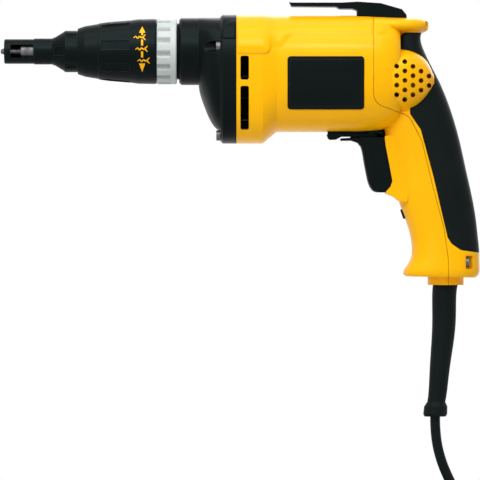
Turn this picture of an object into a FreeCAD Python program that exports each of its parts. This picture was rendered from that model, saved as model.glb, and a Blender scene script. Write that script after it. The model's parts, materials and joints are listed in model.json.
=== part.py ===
import FreeCAD
import Part
import math
import os
from FreeCAD import Vector

# Corded drywall screwdriver. The spindle axis is the X axis, the nose points along -X, and X = 0 is the joint
# between gear case and motor housing. On export everything moves so that the origin is the grip's middle.

# Whole tool
GRIP_BACK = 127.0            # case joint to the middle of the grip
GRIP_DROP = 84.0             # spindle axis down to the middle of the grip
WALL = 2.6                   # motor housing
GRIP_WALL = 4.6              # handle, where rubber and shell lie over each other
RUBBER = 2.4                 # rubber of the rear grip
OVERRUN = 2.0                # a cutting body runs this far past what it cuts
FIT = 0.05                   # radial running clearance, and clearance of a seated piece
GAP = 0.3                    # between pieces that move past each other
SEAM_GAP = 0.2               # between the two housing shells
BODY_POWER = 2.5             # roundness of the housing's ovals, where 2 is an ellipse
FAN_POWER = 3.0              # squarer ovals round the fan
OVAL_POINTS = 16

# Motor housing
BODY_LENGTH = 106.0
BODY_TOP = 23.3              # above the spindle axis
BODY_DROP = 52.3             # below the spindle axis
BODY_HALF = 34.0
FAN_LENGTH = 17.0            # deeper front stretch round the fan
FAN_STEP = 9.0               # slope from the fan stretch up to the body
FAN_TOP = 23.7
FAN_DROP = 59.8
FAN_HALF = 35.4
BODY_SHARES = [              # station, top, drop and width, behind the fan stretch
    (0.35, 1.0, 1.0, 1.0), (0.46, 1.0, 1.0, 1.0), (0.58, 1.0, 1.0, 1.0), (0.7, 1.0, 1.0, 1.0),
    (0.82, 0.99, 0.995, 0.985), (0.93, 0.91, 0.96, 0.93), (1.0, 0.66, 0.87, 0.79)]
BULKHEAD = 3.0

# Rear cap over the hand, and bulge with the air inlet
CAP_END = 124.5              # case joint to the tip of the cap
CAP_MIDDLE = 16.6            # above the spindle axis
CAP_HALF = 22.0
CAP_RISE = 5.3
CAP_SHARES = [               # station, width and rise
    (0.66, 1.0, 1.0), (0.84, 0.95, 1.0), (0.925, 0.82, 0.98), (0.975, 0.6, 0.82), (1.0, 0.34, 0.42)]
BULGE_END = 128.0
BULGE_DROP = 19.0            # its middle below the spindle axis
BULGE_HALF = 32.5
BULGE_RISE = 22.0
BULGE_SHARES = [             # station, width and rise
    (0.7, 0.91, 0.9), (0.76, 0.955, 0.95), (0.82, 0.95, 0.97), (0.87, 0.9, 0.96), (0.915, 0.81, 0.87),
    (0.953, 0.71, 0.68), (0.98, 0.61, 0.44), (1.0, 0.5, 0.16)]
INLET_PITCH = 6.1            # hexagonal grid of round holes
INLET_RADIUS = 1.55
INLET_X = 103.4              # first column behind the case joint
INLET_DROP = 19.6
INLET_COUNTS = [4, 5, 4, 3, 2]

# Handle
HANDLE_LENGTH = 146.5        # spindle axis down to the underside of the foot
HANDLE_DEPTH = 50.0          # front to back
HANDLE_WIDTH = 36.0
HANDLE_SHARES = [            # middle's x and z along the length, depth, width, and lean in degrees
    (-0.094, 0.095, 0.36, 0.8, 0), (-0.108, 0.004, 0.41, 0.9, 5), (-0.084, -0.124, 0.65, 1.0, 1),
    (-0.064, -0.262, 0.87, 1.02, -1), (-0.045, -0.388, 1.0, 1.0, -6), (-0.022, -0.486, 1.01, 0.97, -9),
    (0.003, -0.605, 1.02, 0.95, -9), (0.027, -0.712, 0.99, 0.94, -9), (0.049, -0.803, 0.92, 0.94, -9),
    (0.06, -0.876, 0.88, 0.96, -5), (0.054, -0.943, 0.92, 1.0, -2), (0.041, -0.98, 0.985, 1.0, -1),
    (0.04, -1.0, 0.9, 0.92, -1)]
SEAM_SHARES = [              # x behind the grip's middle and z, along the handle's length
    (-0.262, 0.3), (-0.264, -0.235), (-0.106, -0.288), (-0.048, -0.4), (0.0, -0.6), (0.049, -0.783),
    (0.069, -0.925), (0.07, -1.2)]
SEAM_ROUND = 9.0             # corners of the seam
GRIP_SHARES = [              # edge of the rubber, from the cap down to the foot and round behind
    (-0.142, 0.081), (-0.142, -0.1), (-0.1, -0.14), (-0.1, -0.279), (-0.053, -0.348), (-0.031, -0.428),
    (0.005, -0.561), (0.036, -0.695), (0.067, -0.827), (0.085, -0.854), (0.125, -0.881), (0.3, -0.905),
    (0.3, 0.081)]
GRIP_ROUND = 3.5
FOOT_BOSS_RADIUS = 11.7      # round the cord guard
FOOT_BOSS_DROP = 5.2
GUARD_SHARES = [             # cheeks beside the trigger and the finger stop under it
    (-0.212, -0.375), (-0.207, -0.42), (-0.192, -0.496), (-0.177, -0.576), (-0.186, -0.601), (-0.212, -0.629),
    (-0.175, -0.642), (-0.151, -0.662), (-0.11, -0.672), (-0.11, -0.375)]
GUARD_HALF = 13.5
GUARD_ROUND = 1.2

# Outlets, plates and scoops in the sides
OUTLET_X = 2.6               # from the case joint to the outlet slots
OUTLET_WIDTH = 5.4
OUTLET_SPANS = [(3.8, 19.2), (23.2, 51.4)]   # top and bottom of each slot, below the spindle axis
OUTLET_ROUND = 1.3
PLATE_X = 33.0
PLATE_LENGTH = 49.3
PLATE_TOP_DROP = 4.2
PLATE_HEIGHT = 34.0
PLATE_ROUND = 2.0
PLATE_PROUD = 0.4
PLATE_SUNK = 0.7
SCOOP_LENGTH = 8.6           # at the foot, over the screw heads
SCOOP_HEIGHT = 8.4
SCOOP_FRONT_SHARE = 0.147    # of the handle's length, behind the grip's middle
SCOOP_DROP_SHARE = 0.935
SCOOP_FLOOR = 10.6           # from the middle plane, at the screw head
SCOOP_RAMP = 5.6             # floor's rise towards the back

# Gear case
CASE_LENGTH = 37.2
CASE_RADIUS = 21.8           # front cylinder
CASE_BEVEL = 1.4
CASE_ROUND_LENGTH = 16.0     # of the front cylinder
CASE_SHARES = [              # station from the joint forward, drop and half width of the flare
    (0.66, 0.38, 0.61), (0.58, 0.57, 0.71), (0.48, 0.725, 0.82), (0.37, 0.83, 0.9), (0.28, 0.868, 0.94),
    (0.1, 0.88, 0.96)]
FLANGE = 10.4
FLANGE_BEVEL = 1.5
CAVITY_RADIUS = 17.6
PINION_ROOM = 8.4
NECK_RADIUS = 14.4
NECK_BORE = 9.0
CASE_SCREW_RADIUS = 2.0
CASE_SCREW_HEAD = 3.1
CASE_SCREW_HEAD_HEIGHT = 2.7
CASE_SCREW_LENGTH = 20.0
CASE_SCREW_SPOTS = [(29.0, 2.4), (15.5, -54.6)]   # y on either side, and z
CASE_POCKET = 3.7
BOSS_RADIUS = 4.0

# Gear train and clutch
MODULE = 0.7
PINION_TEETH = 9
GEAR_TEETH = 40
PRESSURE_ANGLE = 25.0
ADDENDUM_SHARE = 0.8
DEDENDUM_SHARE = 1.1
TOOTH_SHARE = 0.84           # of half the pitch, the rest is backlash
FLANK_STEPS = 3
GEAR_WIDTH = 8.0
GEAR_HUB = 4.6
TAIL_RADIUS = 3.0            # spindle's tail in the gear
TAIL_REACH = 6.4             # into the gear at rest
PINION_BORE = 1.6
PINION_MARGIN = 0.6
PLATE_THICK = 6.0            # bearing plate
PLATE_SPINDLE_RADIUS = 18.6
PLATE_MOTOR_RADIUS = 14.6
GEAR_BUSH_RADIUS = 6.2
DOG_COUNT = 3
DOG_HEIGHT = 3.0
DOG_OUTER = 12.6
DOG_INNER = 7.6
DOG_ANGLE = 48.0
DOG_REST_GAP = 1.5
CLUTCH_RADIUS = 13.4
CLUTCH_THICK = 4.0
WASHER_THICK = 1.2
SPRING_RADIUS = 5.0
SPRING_WIRE = 0.6
SPRING_TURNS = 2

# Spindle, bit holder and bit
SPINDLE_RADIUS = 6.0
BUSH_LENGTH = 18.0
BUSH_INSET = 2.0
HOLDER_RADIUS = 5.4
HOLDER_LENGTH = 44.0
HEX_FLAT = 6.35
SHANK_LENGTH = 14.0
SOCKET_DEPTH = 12.0
BIT_LENGTH = 25.4
BIT_OVERHANG = 2.4
BIT_NECK_RADIUS = 2.3
BIT_NECK_LENGTH = 6.0
BIT_TIP_RADIUS = 2.9
BIT_POINT_RADIUS = 1.2
BIT_POINT_LENGTH = 4.2
BIT_WING = 1.0
MAGNET_RADIUS = 2.5
MAGNET_LENGTH = 4.0
CLIP_WIRE = 0.4
CLIP_INSET = 3.0

# Nose
NOSE_TUBE_LENGTH = 31.2
NOSE_TUBE_RADIUS = 8.45
NOSE_RELIEF = 0.45
NOSE_FRONT_LENGTH = 19.5
NOSE_BEVEL = 0.6
NOSE_BORE = 6.2
NOSE_CONE_LENGTH = 8.6
GUIDE_RADIUS = 13.5
GUIDE_SHOWN = 8.0
GUIDE_LENGTH = 30.0
GUIDE_WALL = 2.0
GUIDE_FLANGE = 2.5
WINDOW_SETBACK = 4.2
WINDOW_LENGTH = 14.8
WINDOW_HEIGHT = 8.6
FLAT_DEPTH = 0.9
FLAT_WIDTH = 5.6
FLAT_MARGIN = 0.8
FLAT_COUNT = 4
LEG_COUNT = 3
LEG_ANGLE = 40.0
LEG_CLEARANCE = 3.0          # degrees on each side in the web's slots
LEG_OUTER = 16.0
LEG_INNER = 14.7
NOSE_TRAVEL = 4.0            # either way
WEB_THICK = 4.0
SLEEVE_LENGTH = 51.2
SLEEVE_RADIUS = 21.2
SLEEVE_SHARES = [            # station and radius
    (0.0, 0.70), (0.09, 0.775), (0.265, 0.845), (0.27, 0.862), (0.4, 0.905), (0.55, 0.935), (0.68, 0.96),
    (0.77, 0.99), (0.98, 1.0), (1.0, 0.985)]
GROOVE_COUNT = 8
GROOVE_FIRST = 34.0          # degrees from straight up
GROOVE_START_SHARE = 0.3
GROOVE_END_SHARE = 0.66
GROOVE_DEPTH = 0.8
GROOVE_WIDTH = 6.0
COLLAR_LENGTH = 12.8
COLLAR_RADIUS = 21.3
COLLAR_RIM = 4.0             # plain stretch at the back
COLLAR_SEAT = 3.4
COLLAR_BEVEL = 0.6
FLUTE_COUNT = 15
FLUTE_RADIUS = 4.0
FLUTE_DEPTH = 0.9
NECK_SHOWN = 1.6             # between collar and case
SPIGOT_RADIUS = 17.6
SEAL_RADIUS = 18.2

# Motor
SHAFT_RADIUS = 4.0
SHAFT_END_RADIUS = 3.0
BEARING_RADIUS = 9.5
BEARING_WIDTH = 6.0
BEARING_RACE = 1.7
FAN_RADIUS = 29.0
FAN_WIDTH = 10.0
FAN_DISC = 1.6
FAN_HUB = 7.0
FAN_BLADES = 12
FAN_BLADE_THICK = 1.4
FAN_SETBACK = 1.5            # behind the case joint
BAFFLE_THICK = 1.8
BAFFLE_GAP = 1.5
BAFFLE_BORE = 20.0
CORE_X = 26.0
CORE_LENGTH = 36.0
CORE_RADIUS = 16.3
CORE_SLOTS = 12
CORE_SLOT_WIDTH = 2.0
CORE_SLOT_DEPTH = 3.0
WINDING_LENGTH = 6.0
WINDING_OUTER = 14.6
WINDING_INNER = 6.0
WINDING_BEVEL = 2.0
FIELD_RADIUS = 27.0
FIELD_BACK = 5.6             # radial thickness of the ring
AIR_GAP = 0.6
POLE_ANGLE = 104.0
COIL_ANGLE = 34.0            # of a coil's side beside its pole
COIL_CLEARANCE = 0.4
COIL_OVERHANG = 5.0
COMMUTATOR_RADIUS = 11.0
COMMUTATOR_LENGTH = 10.0
COMMUTATOR_GAP = 0.6
COMMUTATOR_SLITS = 24
SLIT_WIDTH = 0.4
SLIT_DEPTH = 0.8
BRUSH_WIDTH = 6.0
BRUSH_HEIGHT = 7.0
BRUSH_LENGTH = 9.0
BRUSH_CLEARANCE = 0.15
HOLDER_WALL = 0.8
HOLDER_REACH = 16.0
HOLDER_GAP = 1.0             # from the commutator
HOLDER_FOOT = 6.0
BRUSH_SPRING_RADIUS = 2.2
BRUSH_WIRE = 0.35
BRUSH_TURNS = 4
REAR_WALL_GAP = 1.4          # commutator to the wall that carries the rear bearing

# Trigger, switch, lever and lock button
TRIGGER_X = 67.0             # its front lip behind the case joint
TRIGGER_DROP = 56.2          # its top below the spindle axis
TRIGGER_LENGTH = 37.0
TRIGGER_HEIGHT = 35.4
TRIGGER_WIDTH = 21.0
TRIGGER_ROUND = 4.0
TRIGGER_LIP_HALF = 8.5
TRIGGER_TRAVEL = 6.5
TRIGGER_LIP_SHARES = [       # along the length and the height
    (0.19, 0.0), (0.0, -0.012), (0.024, -0.053), (0.2, -0.05), (0.31, -0.09), (0.4, -0.2), (0.45, 0.0)]
TRIGGER_LIP_ROUND = 0.5
TRIGGER_FRONT_SHARES = [     # front face, from the top down
    (0.3, 0.0), (0.35, -0.12), (0.39, -0.25), (0.42, -0.43), (0.465, -0.674), (0.527, -0.897),
    (0.575, -0.965), (0.66, -1.0)]
STEM_RADIUS = 2.5
STEM_DROP = 17.0             # below the trigger's top
STEM_POCKET = 5.2
STEM_POCKET_DEPTH = 8.0
STEM_REACH = 5.0             # into the switch
TRIGGER_SPRING_RADIUS = 4.0
TRIGGER_SPRING_WIRE = 0.45
TRIGGER_SPRING_TURNS = 5
SWITCH_LENGTH = 24.0
SWITCH_WIDTH = 18.0
SWITCH_HEIGHT = 36.0
SWITCH_RISE = 18.0           # its top above the trigger's stem
SWITCH_CLEARANCE = 1.0
SWITCH_BEVEL = 1.0
SHELF = 2.2
LEVER_DROP = 53.2            # its top below the spindle axis
LEVER_THICK = 2.2
LEVER_PIVOT_X = 88.0
LEVER_REACH = 29.4           # pivot to tip
LEVER_HALF = 5.0
LEVER_TAIL = 1.5             # pivot to the middle of its round rear end
LEVER_PIN = 2.0
BEAK_LENGTH = 11.0
BEAK_HEIGHT = 4.3
BEAK_HALF = 7.0
BEAK_SHARES = [(0.06, 0.0), (0.0, -0.3), (0.09, -0.86), (0.22, -1.0), (0.55, -0.95), (0.95, -0.4), (1.0, 0.0)]
BEAK_ROUND = 0.6
LOCK_SHARE = (-0.128, -0.721)   # where it stands on the handle's front
LOCK_LEAN = 19.7             # degrees
LOCK_WIDTH = 5.0
LOCK_LENGTH = 6.4
LOCK_PROUD = 0.9
LOCK_DEPTH = 7.4
LOCK_FLANGE = 1.8
LOCK_FLANGE_EDGE = 1.9
LOCK_SLOT = 18.2
LOCK_SPRING_RADIUS = 1.2
LOCK_SPRING_WIRE = 0.25
LOCK_SPRING_TURNS = 6
LOCK_SPRING_LENGTH = 10.0
LOCK_LEDGE = 2.0

# Belt hook
HOOK_X = 34.1                # tip behind the case joint
HOOK_LENGTH = 76.2
HOOK_RISE = 32.3             # top of the tip above the spindle axis
HOOK_HEIGHT = 12.2
HOOK_HALF = 10.5
HOOK_ROUND = 1.0
HOOK_SHARES = [              # along the length and down from the top
    (0.0, 0.0), (0.013, 0.07), (0.45, 0.07), (0.58, 0.02), (0.78, 0.1), (0.96, 0.42), (1.0, 0.72), (1.0, 1.0),
    (0.58, 1.0), (0.578, 0.47), (0.54, 0.39), (0.43, 0.385), (0.4, 0.28), (0.02, 0.26)]
HOOK_SCREW_SHARES = [0.8, 0.92]
HOOK_SCREW_RADIUS = 1.8
HOOK_SCREW_HEAD = 3.2
HOOK_SCREW_HEAD_HEIGHT = 2.0
HOOK_SCREW_LENGTH = 11.0
HOOK_SCREW_SEAT = 25.0       # above the spindle axis

# Handle screws
HANDLE_SCREW_RADIUS = 1.8
HANDLE_SCREW_HEAD = 2.9
HANDLE_SCREW_HEAD_HEIGHT = 2.2
HANDLE_SCREW_LENGTH = 20.0
CAP_SCREW_SPREAD = 8.5
CAP_SCREW_SINK = 8.0
CAP_SCREW_LENGTH = 34.0
FOOT_SCREW_SPREAD = 13.6

# Cord guard, cord and plug
CORD = 6.5                   # diameter
BOOT_X = 135.9               # middle of its top behind the case joint
BOOT_DROP = 150.8            # its shoulder below the spindle axis
BOOT_LENGTH = 86.4
BOOT_RADIUS = 8.15
BOOT_SHARES = [              # station, lean and radius
    (0.0, 0.0, 1.0), (0.2, -0.011, 0.955), (0.48, -0.027, 0.875), (0.62, -0.042, 0.81), (0.75, -0.053, 0.76),
    (0.89, -0.07, 0.72)]
BOOT_BULB_SHARES = [(0.89, -0.07, 0.72), (0.925, -0.074, 0.93), (0.98, -0.078, 0.96), (1.0, -0.079, 0.86)]
BOOT_COLLAR = 1.6            # inside the foot
BOOT_COLLAR_THICK = 2.8
CORD_ROUTE = [               # free stretch, from the guard's end to the coil
    (0, 0, 0), (0, 0, -11.4), (3.4, 0, -28.0), (10.7, 4.4, -44.4), (17.4, 14.1, -55.3), (20.4, 26.5, -62.3),
    (19.7, 39.9, -65.7), (15.3, 53.0, -65.7)]
ROUTE_ARC_SHARE = 0.45
COIL_MEAN = 38.4             # radius at the middle of the turns
COIL_TURNS = 9.2
COIL_LAYERS = 4
COIL_PITCH = 7.2             # between turns and between layers
COIL_CLIMB = 0.5             # turns in which it changes layer
COIL_SMOOTH = 0.25           # turns on each side of a reversal
TAIL_RUN = 15.0
PLUG_LENGTH = 33.0
PLUG_WIDTH = 25.0
PLUG_THICK = 16.0
PLUG_GUARD_FLARE = 0.9
PLUG_GUARD_LENGTH = 16.0
PLUG_GUARD_RADIUS = 4.6
PLUG_SHARES = [(0.0, 0.5), (0.4, 1.0), (0.92, 1.0), (1.0, 0.92)]   # station and section
BLADE_SPREAD = 12.7
BLADE_LENGTH = 16.5
BLADE_WIDTH = 6.35
BLADE_THICK = 1.5
BLADE_SUNK = 6.0
TIE_ANGLE = 60.0             # where the tie stands round the coil, degrees
TIE_WIDTH = 12.0
TIE_THICK = 0.9
TIE_ROOM = 1.0               # inside the turns, which curve under its width

# Leads and clamp in the handle
CLAMP_DROP = 134.0
CLAMP_LENGTH = 10.0
CLAMP_WIDTH = 21.0
CLAMP_HEIGHT = 6.0
CLAMP_SCREW_SPREAD = 7.6
CLAMP_SCREW_RADIUS = 1.4
CLAMP_SCREW_HEAD = 2.4
CLAMP_SCREW_HEAD_HEIGHT = 1.6
CLAMP_SCREW_LENGTH = 9.0
LEAD_RADIUS = 1.0
LEAD_X = 130.0               # cord's lead at the switch, behind the case joint
LEAD_BENDS = [121.0, 106.5]  # below the spindle axis
PASSAGE_RADIUS = 5.0         # for leads and air, through the rear wall
PASSAGE_SPREAD = 20.0
MOTOR_LEAD_ROUTE = [         # from the switch's upper front edge, on the +Y side
    (6.5, 5.0, 0), (5.5, 5.4, 11.2), (-3.0, 10.0, 22.2), (-12.5, 16.5, 31.7)]
MOTOR_LEAD_RUN = 11.0
VENT_RADIUS = 6.0            # air past the field, in the rings that hold it
RECESS_SHARE = 0.55          # cross recess of a screw head, of its radius and height
RECESS_WIDTH_SHARE = 0.3

# Stations along the spindle
case_front = -CASE_LENGTH
collar_rear = case_front - NECK_SHOWN
collar_front = collar_rear - COLLAR_LENGTH
spigot_front = collar_rear - COLLAR_SEAT
sleeve_rear = collar_front - GAP
sleeve_front = sleeve_rear - SLEEVE_LENGTH
guide_front = sleeve_front - GUIDE_SHOWN
guide_rear = guide_front + GUIDE_LENGTH
tube_rear = guide_front - NOSE_CONE_LENGTH
nose_tip = tube_rear - NOSE_TUBE_LENGTH
web_front = guide_rear + NOSE_TRAVEL + GAP
web_rear = web_front + WEB_THICK
leg_rear = spigot_front - GAP - NOSE_TRAVEL
chamber_front = guide_rear - GUIDE_FLANGE - NOSE_TRAVEL - GAP
gear_rear = -PLATE_THICK - GAP
gear_front = gear_rear - GEAR_WIDTH
clutch_rear = gear_front - 2 * DOG_HEIGHT - DOG_REST_GAP
clutch_front = clutch_rear - CLUTCH_THICK
washer_front = clutch_front - FIT - WASHER_THICK
bit_tip = nose_tip - BIT_OVERHANG
bit_rear = bit_tip + BIT_LENGTH
holder_front = bit_rear - SOCKET_DEPTH
holder_rear = holder_front + HOLDER_LENGTH

# Stations along the motor, whose axis lies below the spindle's
pinion_front = gear_front - PINION_MARGIN
motor_z = -MODULE * (PINION_TEETH + GEAR_TEETH) / 2
core_rear = CORE_X + CORE_LENGTH
fan_rear = FAN_SETBACK + FAN_WIDTH
commutator_front = core_rear + WINDING_LENGTH + COMMUTATOR_GAP
commutator_rear = commutator_front + COMMUTATOR_LENGTH
rear_wall_front = commutator_rear + REAR_WALL_GAP
rear_wall_rear = rear_wall_front + BEARING_WIDTH
brush_x = commutator_front + COMMUTATOR_LENGTH / 2

# Stations in the handle
trigger_rear = TRIGGER_X + TRIGGER_LENGTH
trigger_bottom = -TRIGGER_DROP - TRIGGER_HEIGHT
stem_z = -TRIGGER_DROP - STEM_DROP
switch_front = trigger_rear + TRIGGER_TRAVEL + SWITCH_CLEARANCE
switch_rear = switch_front + SWITCH_LENGTH
switch_top = stem_z + SWITCH_RISE
switch_bottom = switch_top - SWITCH_HEIGHT
boot_end = -BOOT_DROP - BOOT_LENGTH

ALONG = Vector(1, 0, 0)
ACROSS = Vector(0, 1, 0)
UP = Vector(0, 0, 1)


# Basic solids

def rod(x_from, x_to, radius, y=0, z=0):
    return Part.makeCylinder(radius, x_to - x_from, Vector(x_from, y, z), ALONG)


def post(z_from, z_to, radius, x, y=0):
    return Part.makeCylinder(radius, z_to - z_from, Vector(x, y, z_from), UP)


def pin(y_from, y_to, radius, x, z):
    return Part.makeCylinder(radius, y_to - y_from, Vector(x, y_from, z), ACROSS)


def ring(x_from, x_to, outer, inner, z=0):
    return rod(x_from, x_to, outer, z=z).cut(rod(x_from - OVERRUN, x_to + OVERRUN, inner, z=z))


def block(x_from, x_to, y_from, y_to, z_from, z_to):
    return Part.makeBox(x_to - x_from, y_to - y_from, z_to - z_from, Vector(x_from, y_from, z_from))


def turned(profile, z=0, angle=360):
    """Turn (x, radius) points about the axis along X at height z."""
    corners = [Vector(x, 0, z + radius) for x, radius in profile]
    face = Part.Face(Part.makePolygon(corners + corners[:1]))
    return face.revolve(Vector(0, 0, z), ALONG, angle)


def sector(x_from, x_to, outer, inner, middle, angle, z=0):
    """Piece of a ring, with its middle at an angle from straight up, in degrees."""
    corners = [(x_from, inner), (x_to, inner), (x_to, outer), (x_from, outer)]
    piece = turned(corners, z, angle)
    piece.rotate(Vector(0, 0, z), ALONG, middle - angle / 2)
    return piece


def around(shape, count, first=0, z=0):
    """Copies of a shape round the axis along X at height z."""
    copies = []
    for k in range(count):
        copy = shape.copy()
        copy.rotate(Vector(0, 0, z), ALONG, first + 360 * k / count)
        copies.append(copy)
    return copies


def mirrored(shape):
    return [shape, shape.mirror(Vector(0, 0, 0), ACROSS)]


def joined(shapes):
    return shapes[0].fuse(shapes[1:]).removeSplitter()


def hexagon(x_from, x_to, flat):
    """Hexagonal bar along the spindle axis, by its width over flats."""
    corner = flat / math.sqrt(3)
    angles = [math.radians(60 * k) for k in range(7)]
    corners = [Vector(x_from, corner * math.sin(a), corner * math.cos(a)) for a in angles]
    return Part.Face(Part.makePolygon(corners)).extrude(Vector(x_to - x_from, 0, 0))


# Outlines, ovals and lofts

def outline(points, radius):
    """Closed face in the XZ plane with rounded corners, each limited by its shorter side."""
    corners = [Vector(x, 0, z) for x, z in points]
    edges = []
    last_end = None
    first_start = None
    for k, corner in enumerate(corners):
        to_last = corners[k - 1] - corner
        to_next = corners[(k + 1) % len(corners)] - corner
        half = to_last.getAngle(to_next) / 2
        reach = min(radius / math.tan(half), ROUTE_ARC_SHARE * min(to_last.Length, to_next.Length))
        start = corner + to_last.normalize() * reach
        end = corner + to_next.normalize() * reach
        inward = (to_last + to_next).normalize()
        middle = corner + inward * reach * (1 / math.cos(half) - math.tan(half))
        if last_end is None:
            first_start = start
        else:
            edges.append(Part.LineSegment(last_end, start).toShape())
        edges.append(Part.Arc(start, middle, end).toShape())
        last_end = end
    edges.append(Part.LineSegment(last_end, first_start).toShape())
    return Part.Face(Part.Wire(edges))


def slab(points, radius, y_from, y_to):
    """Rounded outline carried across from one y to another."""
    face = outline(points, radius)
    face.translate(Vector(0, y_from, 0))
    return face.extrude(Vector(0, y_to - y_from, 0))


def placed(shares, x, z, length, height):
    """Points of a share table on a piece that starts at x, z."""
    return [(x + length * a, z + height * b) for a, b in shares]


def oval(centre, first, second, first_half, second_half, power):
    """Closed smooth curve between an ellipse and a rectangle."""
    points = []
    for k in range(OVAL_POINTS):
        turn = 2 * math.pi * k / OVAL_POINTS
        a = math.copysign(abs(math.cos(turn)) ** (2 / power), math.cos(turn))
        b = math.copysign(abs(math.sin(turn)) ** (2 / power), math.sin(turn))
        points.append(centre + first * (first_half * a) + second * (second_half * b))
    curve = Part.BSplineCurve()
    curve.interpolate(Points=points, PeriodicFlag=True)
    return Part.Wire([curve.toShape()])


def upright_oval(x, top, bottom, half_width, power=BODY_POWER):
    return oval(Vector(x, 0, (top + bottom) / 2), ACROSS, UP, half_width, (top - bottom) / 2, power)


def loft(wires, ruled=False):
    return Part.makeLoft(wires, True, ruled)


def circles(stations):
    """Level circles at (x, z, radius) stations."""
    return [Part.Wire([Part.makeCircle(r, Vector(x, 0, z), UP)]) for x, z, r in stations]


# Wound and bent tubes

def arc_from_corner(start, corner, end):
    """Arc that leaves the start towards the corner and ends away from it."""
    middle = (start + end) * 0.5
    half_chord = (end - start).Length / 2
    reach = (corner - start).Length
    if reach - half_chord < reach * 1e-7:
        return Part.LineSegment(start, end).toShape()
    half_turn = math.acos(half_chord / reach)
    rise = half_chord * math.tan(half_turn / 2)
    return Part.Arc(start, middle + (corner - middle).normalize() * rise, end).toShape()


def biarc(start, start_way, end, end_way):
    """Two arcs that join two points with given unit directions."""
    span = end - start
    ways = start_way + end_way
    bend = 2 * (1 - start_way.dot(end_way))
    pull = span.dot(ways)
    if bend < 1e-9:
        reach = span.dot(span) / (2 * pull)
    else:
        reach = (math.sqrt(pull * pull + bend * span.dot(span)) - pull) / bend
    first = start + start_way * reach
    second = end - end_way * reach
    joint = (first + second) * 0.5
    return [arc_from_corner(start, first, joint), arc_from_corner(joint, second, end)]


def wound(points, ways):
    """Edges through points with their directions."""
    edges = []
    for k in range(len(points) - 1):
        edges += biarc(points[k], ways[k], points[k + 1], ways[k + 1])
    return edges


def route_edges(points):
    """Straight runs joined by arcs as large as the runs allow."""
    corners = [Vector(*point) for point in points]
    edges = []
    radii = []
    start = corners[0]
    for k in range(1, len(corners) - 1):
        to_last = corners[k - 1] - corners[k]
        to_next = corners[k + 1] - corners[k]
        reach = ROUTE_ARC_SHARE * min(to_last.Length, to_next.Length)
        half_turn = (math.pi - to_last.getAngle(to_next)) / 2
        radii.append(reach / math.tan(half_turn))
        arc_start = corners[k] + to_last.normalize() * reach
        arc_end = corners[k] + to_next.normalize() * reach
        edges.append(Part.LineSegment(start, arc_start).toShape())
        edges.append(arc_from_corner(arc_start, corners[k], arc_end))
        start = arc_end
    edges.append(Part.LineSegment(start, corners[-1]).toShape())
    print("cord radii", [round(radius, 1) for radius in radii])
    return edges


def tube(edges, radius):
    """Round tube along edges, with its volume compared with section times length."""
    path = Part.Wire(edges)
    first = edges[0]
    way = first.tangentAt(first.FirstParameter)
    section = Part.Wire([Part.makeCircle(radius, first.valueAt(first.FirstParameter), way)])
    solid = path.makePipeShell([section], True, False)
    print("tube volume share", round(solid.Volume / (math.pi * radius * radius * path.Length), 4))
    return solid


def helix(start, way, side, length, radius, wire, turns):
    """Coil spring from a start point along a way; side is square to the way."""
    other = way.cross(side)
    rise = length - 2 * wire
    steps = 4 * turns
    points = []
    ways = []
    for k in range(steps + 1):
        turn = math.pi / 2 * k
        outward = side * math.cos(turn) + other * math.sin(turn)
        sideways = other * math.cos(turn) - side * math.sin(turn)
        points.append(start + way * (wire + rise * k / steps) + outward * radius)
        ways.append((sideways * radius + way * (rise / (2 * math.pi * turns))).normalize())
    print("spring gap", round(rise / turns - 2 * wire, 2))
    return tube(wound(points, ways), wire)


def screw(head, head_height, radius, length):
    """Screw along X with the head's underside at 0, its head towards -X and a cross recess."""
    body = joined([rod(-head_height, 0, head), rod(-head_height / 2, length, radius)])
    depth = head_height * RECESS_SHARE
    reach = head * RECESS_SHARE
    half = reach * RECESS_WIDTH_SHARE
    front = -head_height - OVERRUN
    recess = block(front, -head_height + depth, -reach, reach, -half, half)
    return body.cut([recess, block(front, -head_height + depth, -half, half, -reach, reach)])


def screw_at(shape, spot, way):
    """Copy of a screw with its head's underside at a spot, pointing a way."""
    copy = shape.copy()
    copy.Placement = FreeCAD.Placement(spot, FreeCAD.Rotation(ALONG, way))
    return copy


# Housing forms, each with its surface moved inward by an inset

def body_section(inset):
    return upright_oval(FAN_LENGTH + FAN_STEP, BODY_TOP - inset, inset - BODY_DROP, BODY_HALF - inset)


def body_form(inset):
    wires = [body_section(inset)]
    for station, top, drop, width in BODY_SHARES:
        end = inset if station == 1.0 else 0
        wires.append(upright_oval(station * BODY_LENGTH - end, top * BODY_TOP - inset,
                                  inset - drop * BODY_DROP, width * BODY_HALF - inset))
    return loft(wires)


def fan_section(x, inset):
    return upright_oval(x, FAN_TOP - inset, inset - FAN_DROP, FAN_HALF - inset, FAN_POWER)


def fan_form(inset):
    front = -OVERRUN if inset > 0 else 0
    return loft([fan_section(front, inset), fan_section(FAN_LENGTH, inset), body_section(inset)], ruled=True)


def cap_form(inset):
    return loft([upright_oval(station * CAP_END, CAP_MIDDLE + rise * CAP_RISE - inset,
                              CAP_MIDDLE - rise * CAP_RISE + inset, width * CAP_HALF - inset)
                 for station, width, rise in CAP_SHARES])


def bulge_form(inset):
    shrink = 1 - inset / BULGE_RISE
    return loft([upright_oval(station * (BULGE_END - inset), rise * BULGE_RISE * shrink - BULGE_DROP,
                              -BULGE_DROP - rise * BULGE_RISE * shrink, width * BULGE_HALF - inset)
                 for station, width, rise in BULGE_SHARES])


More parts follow.
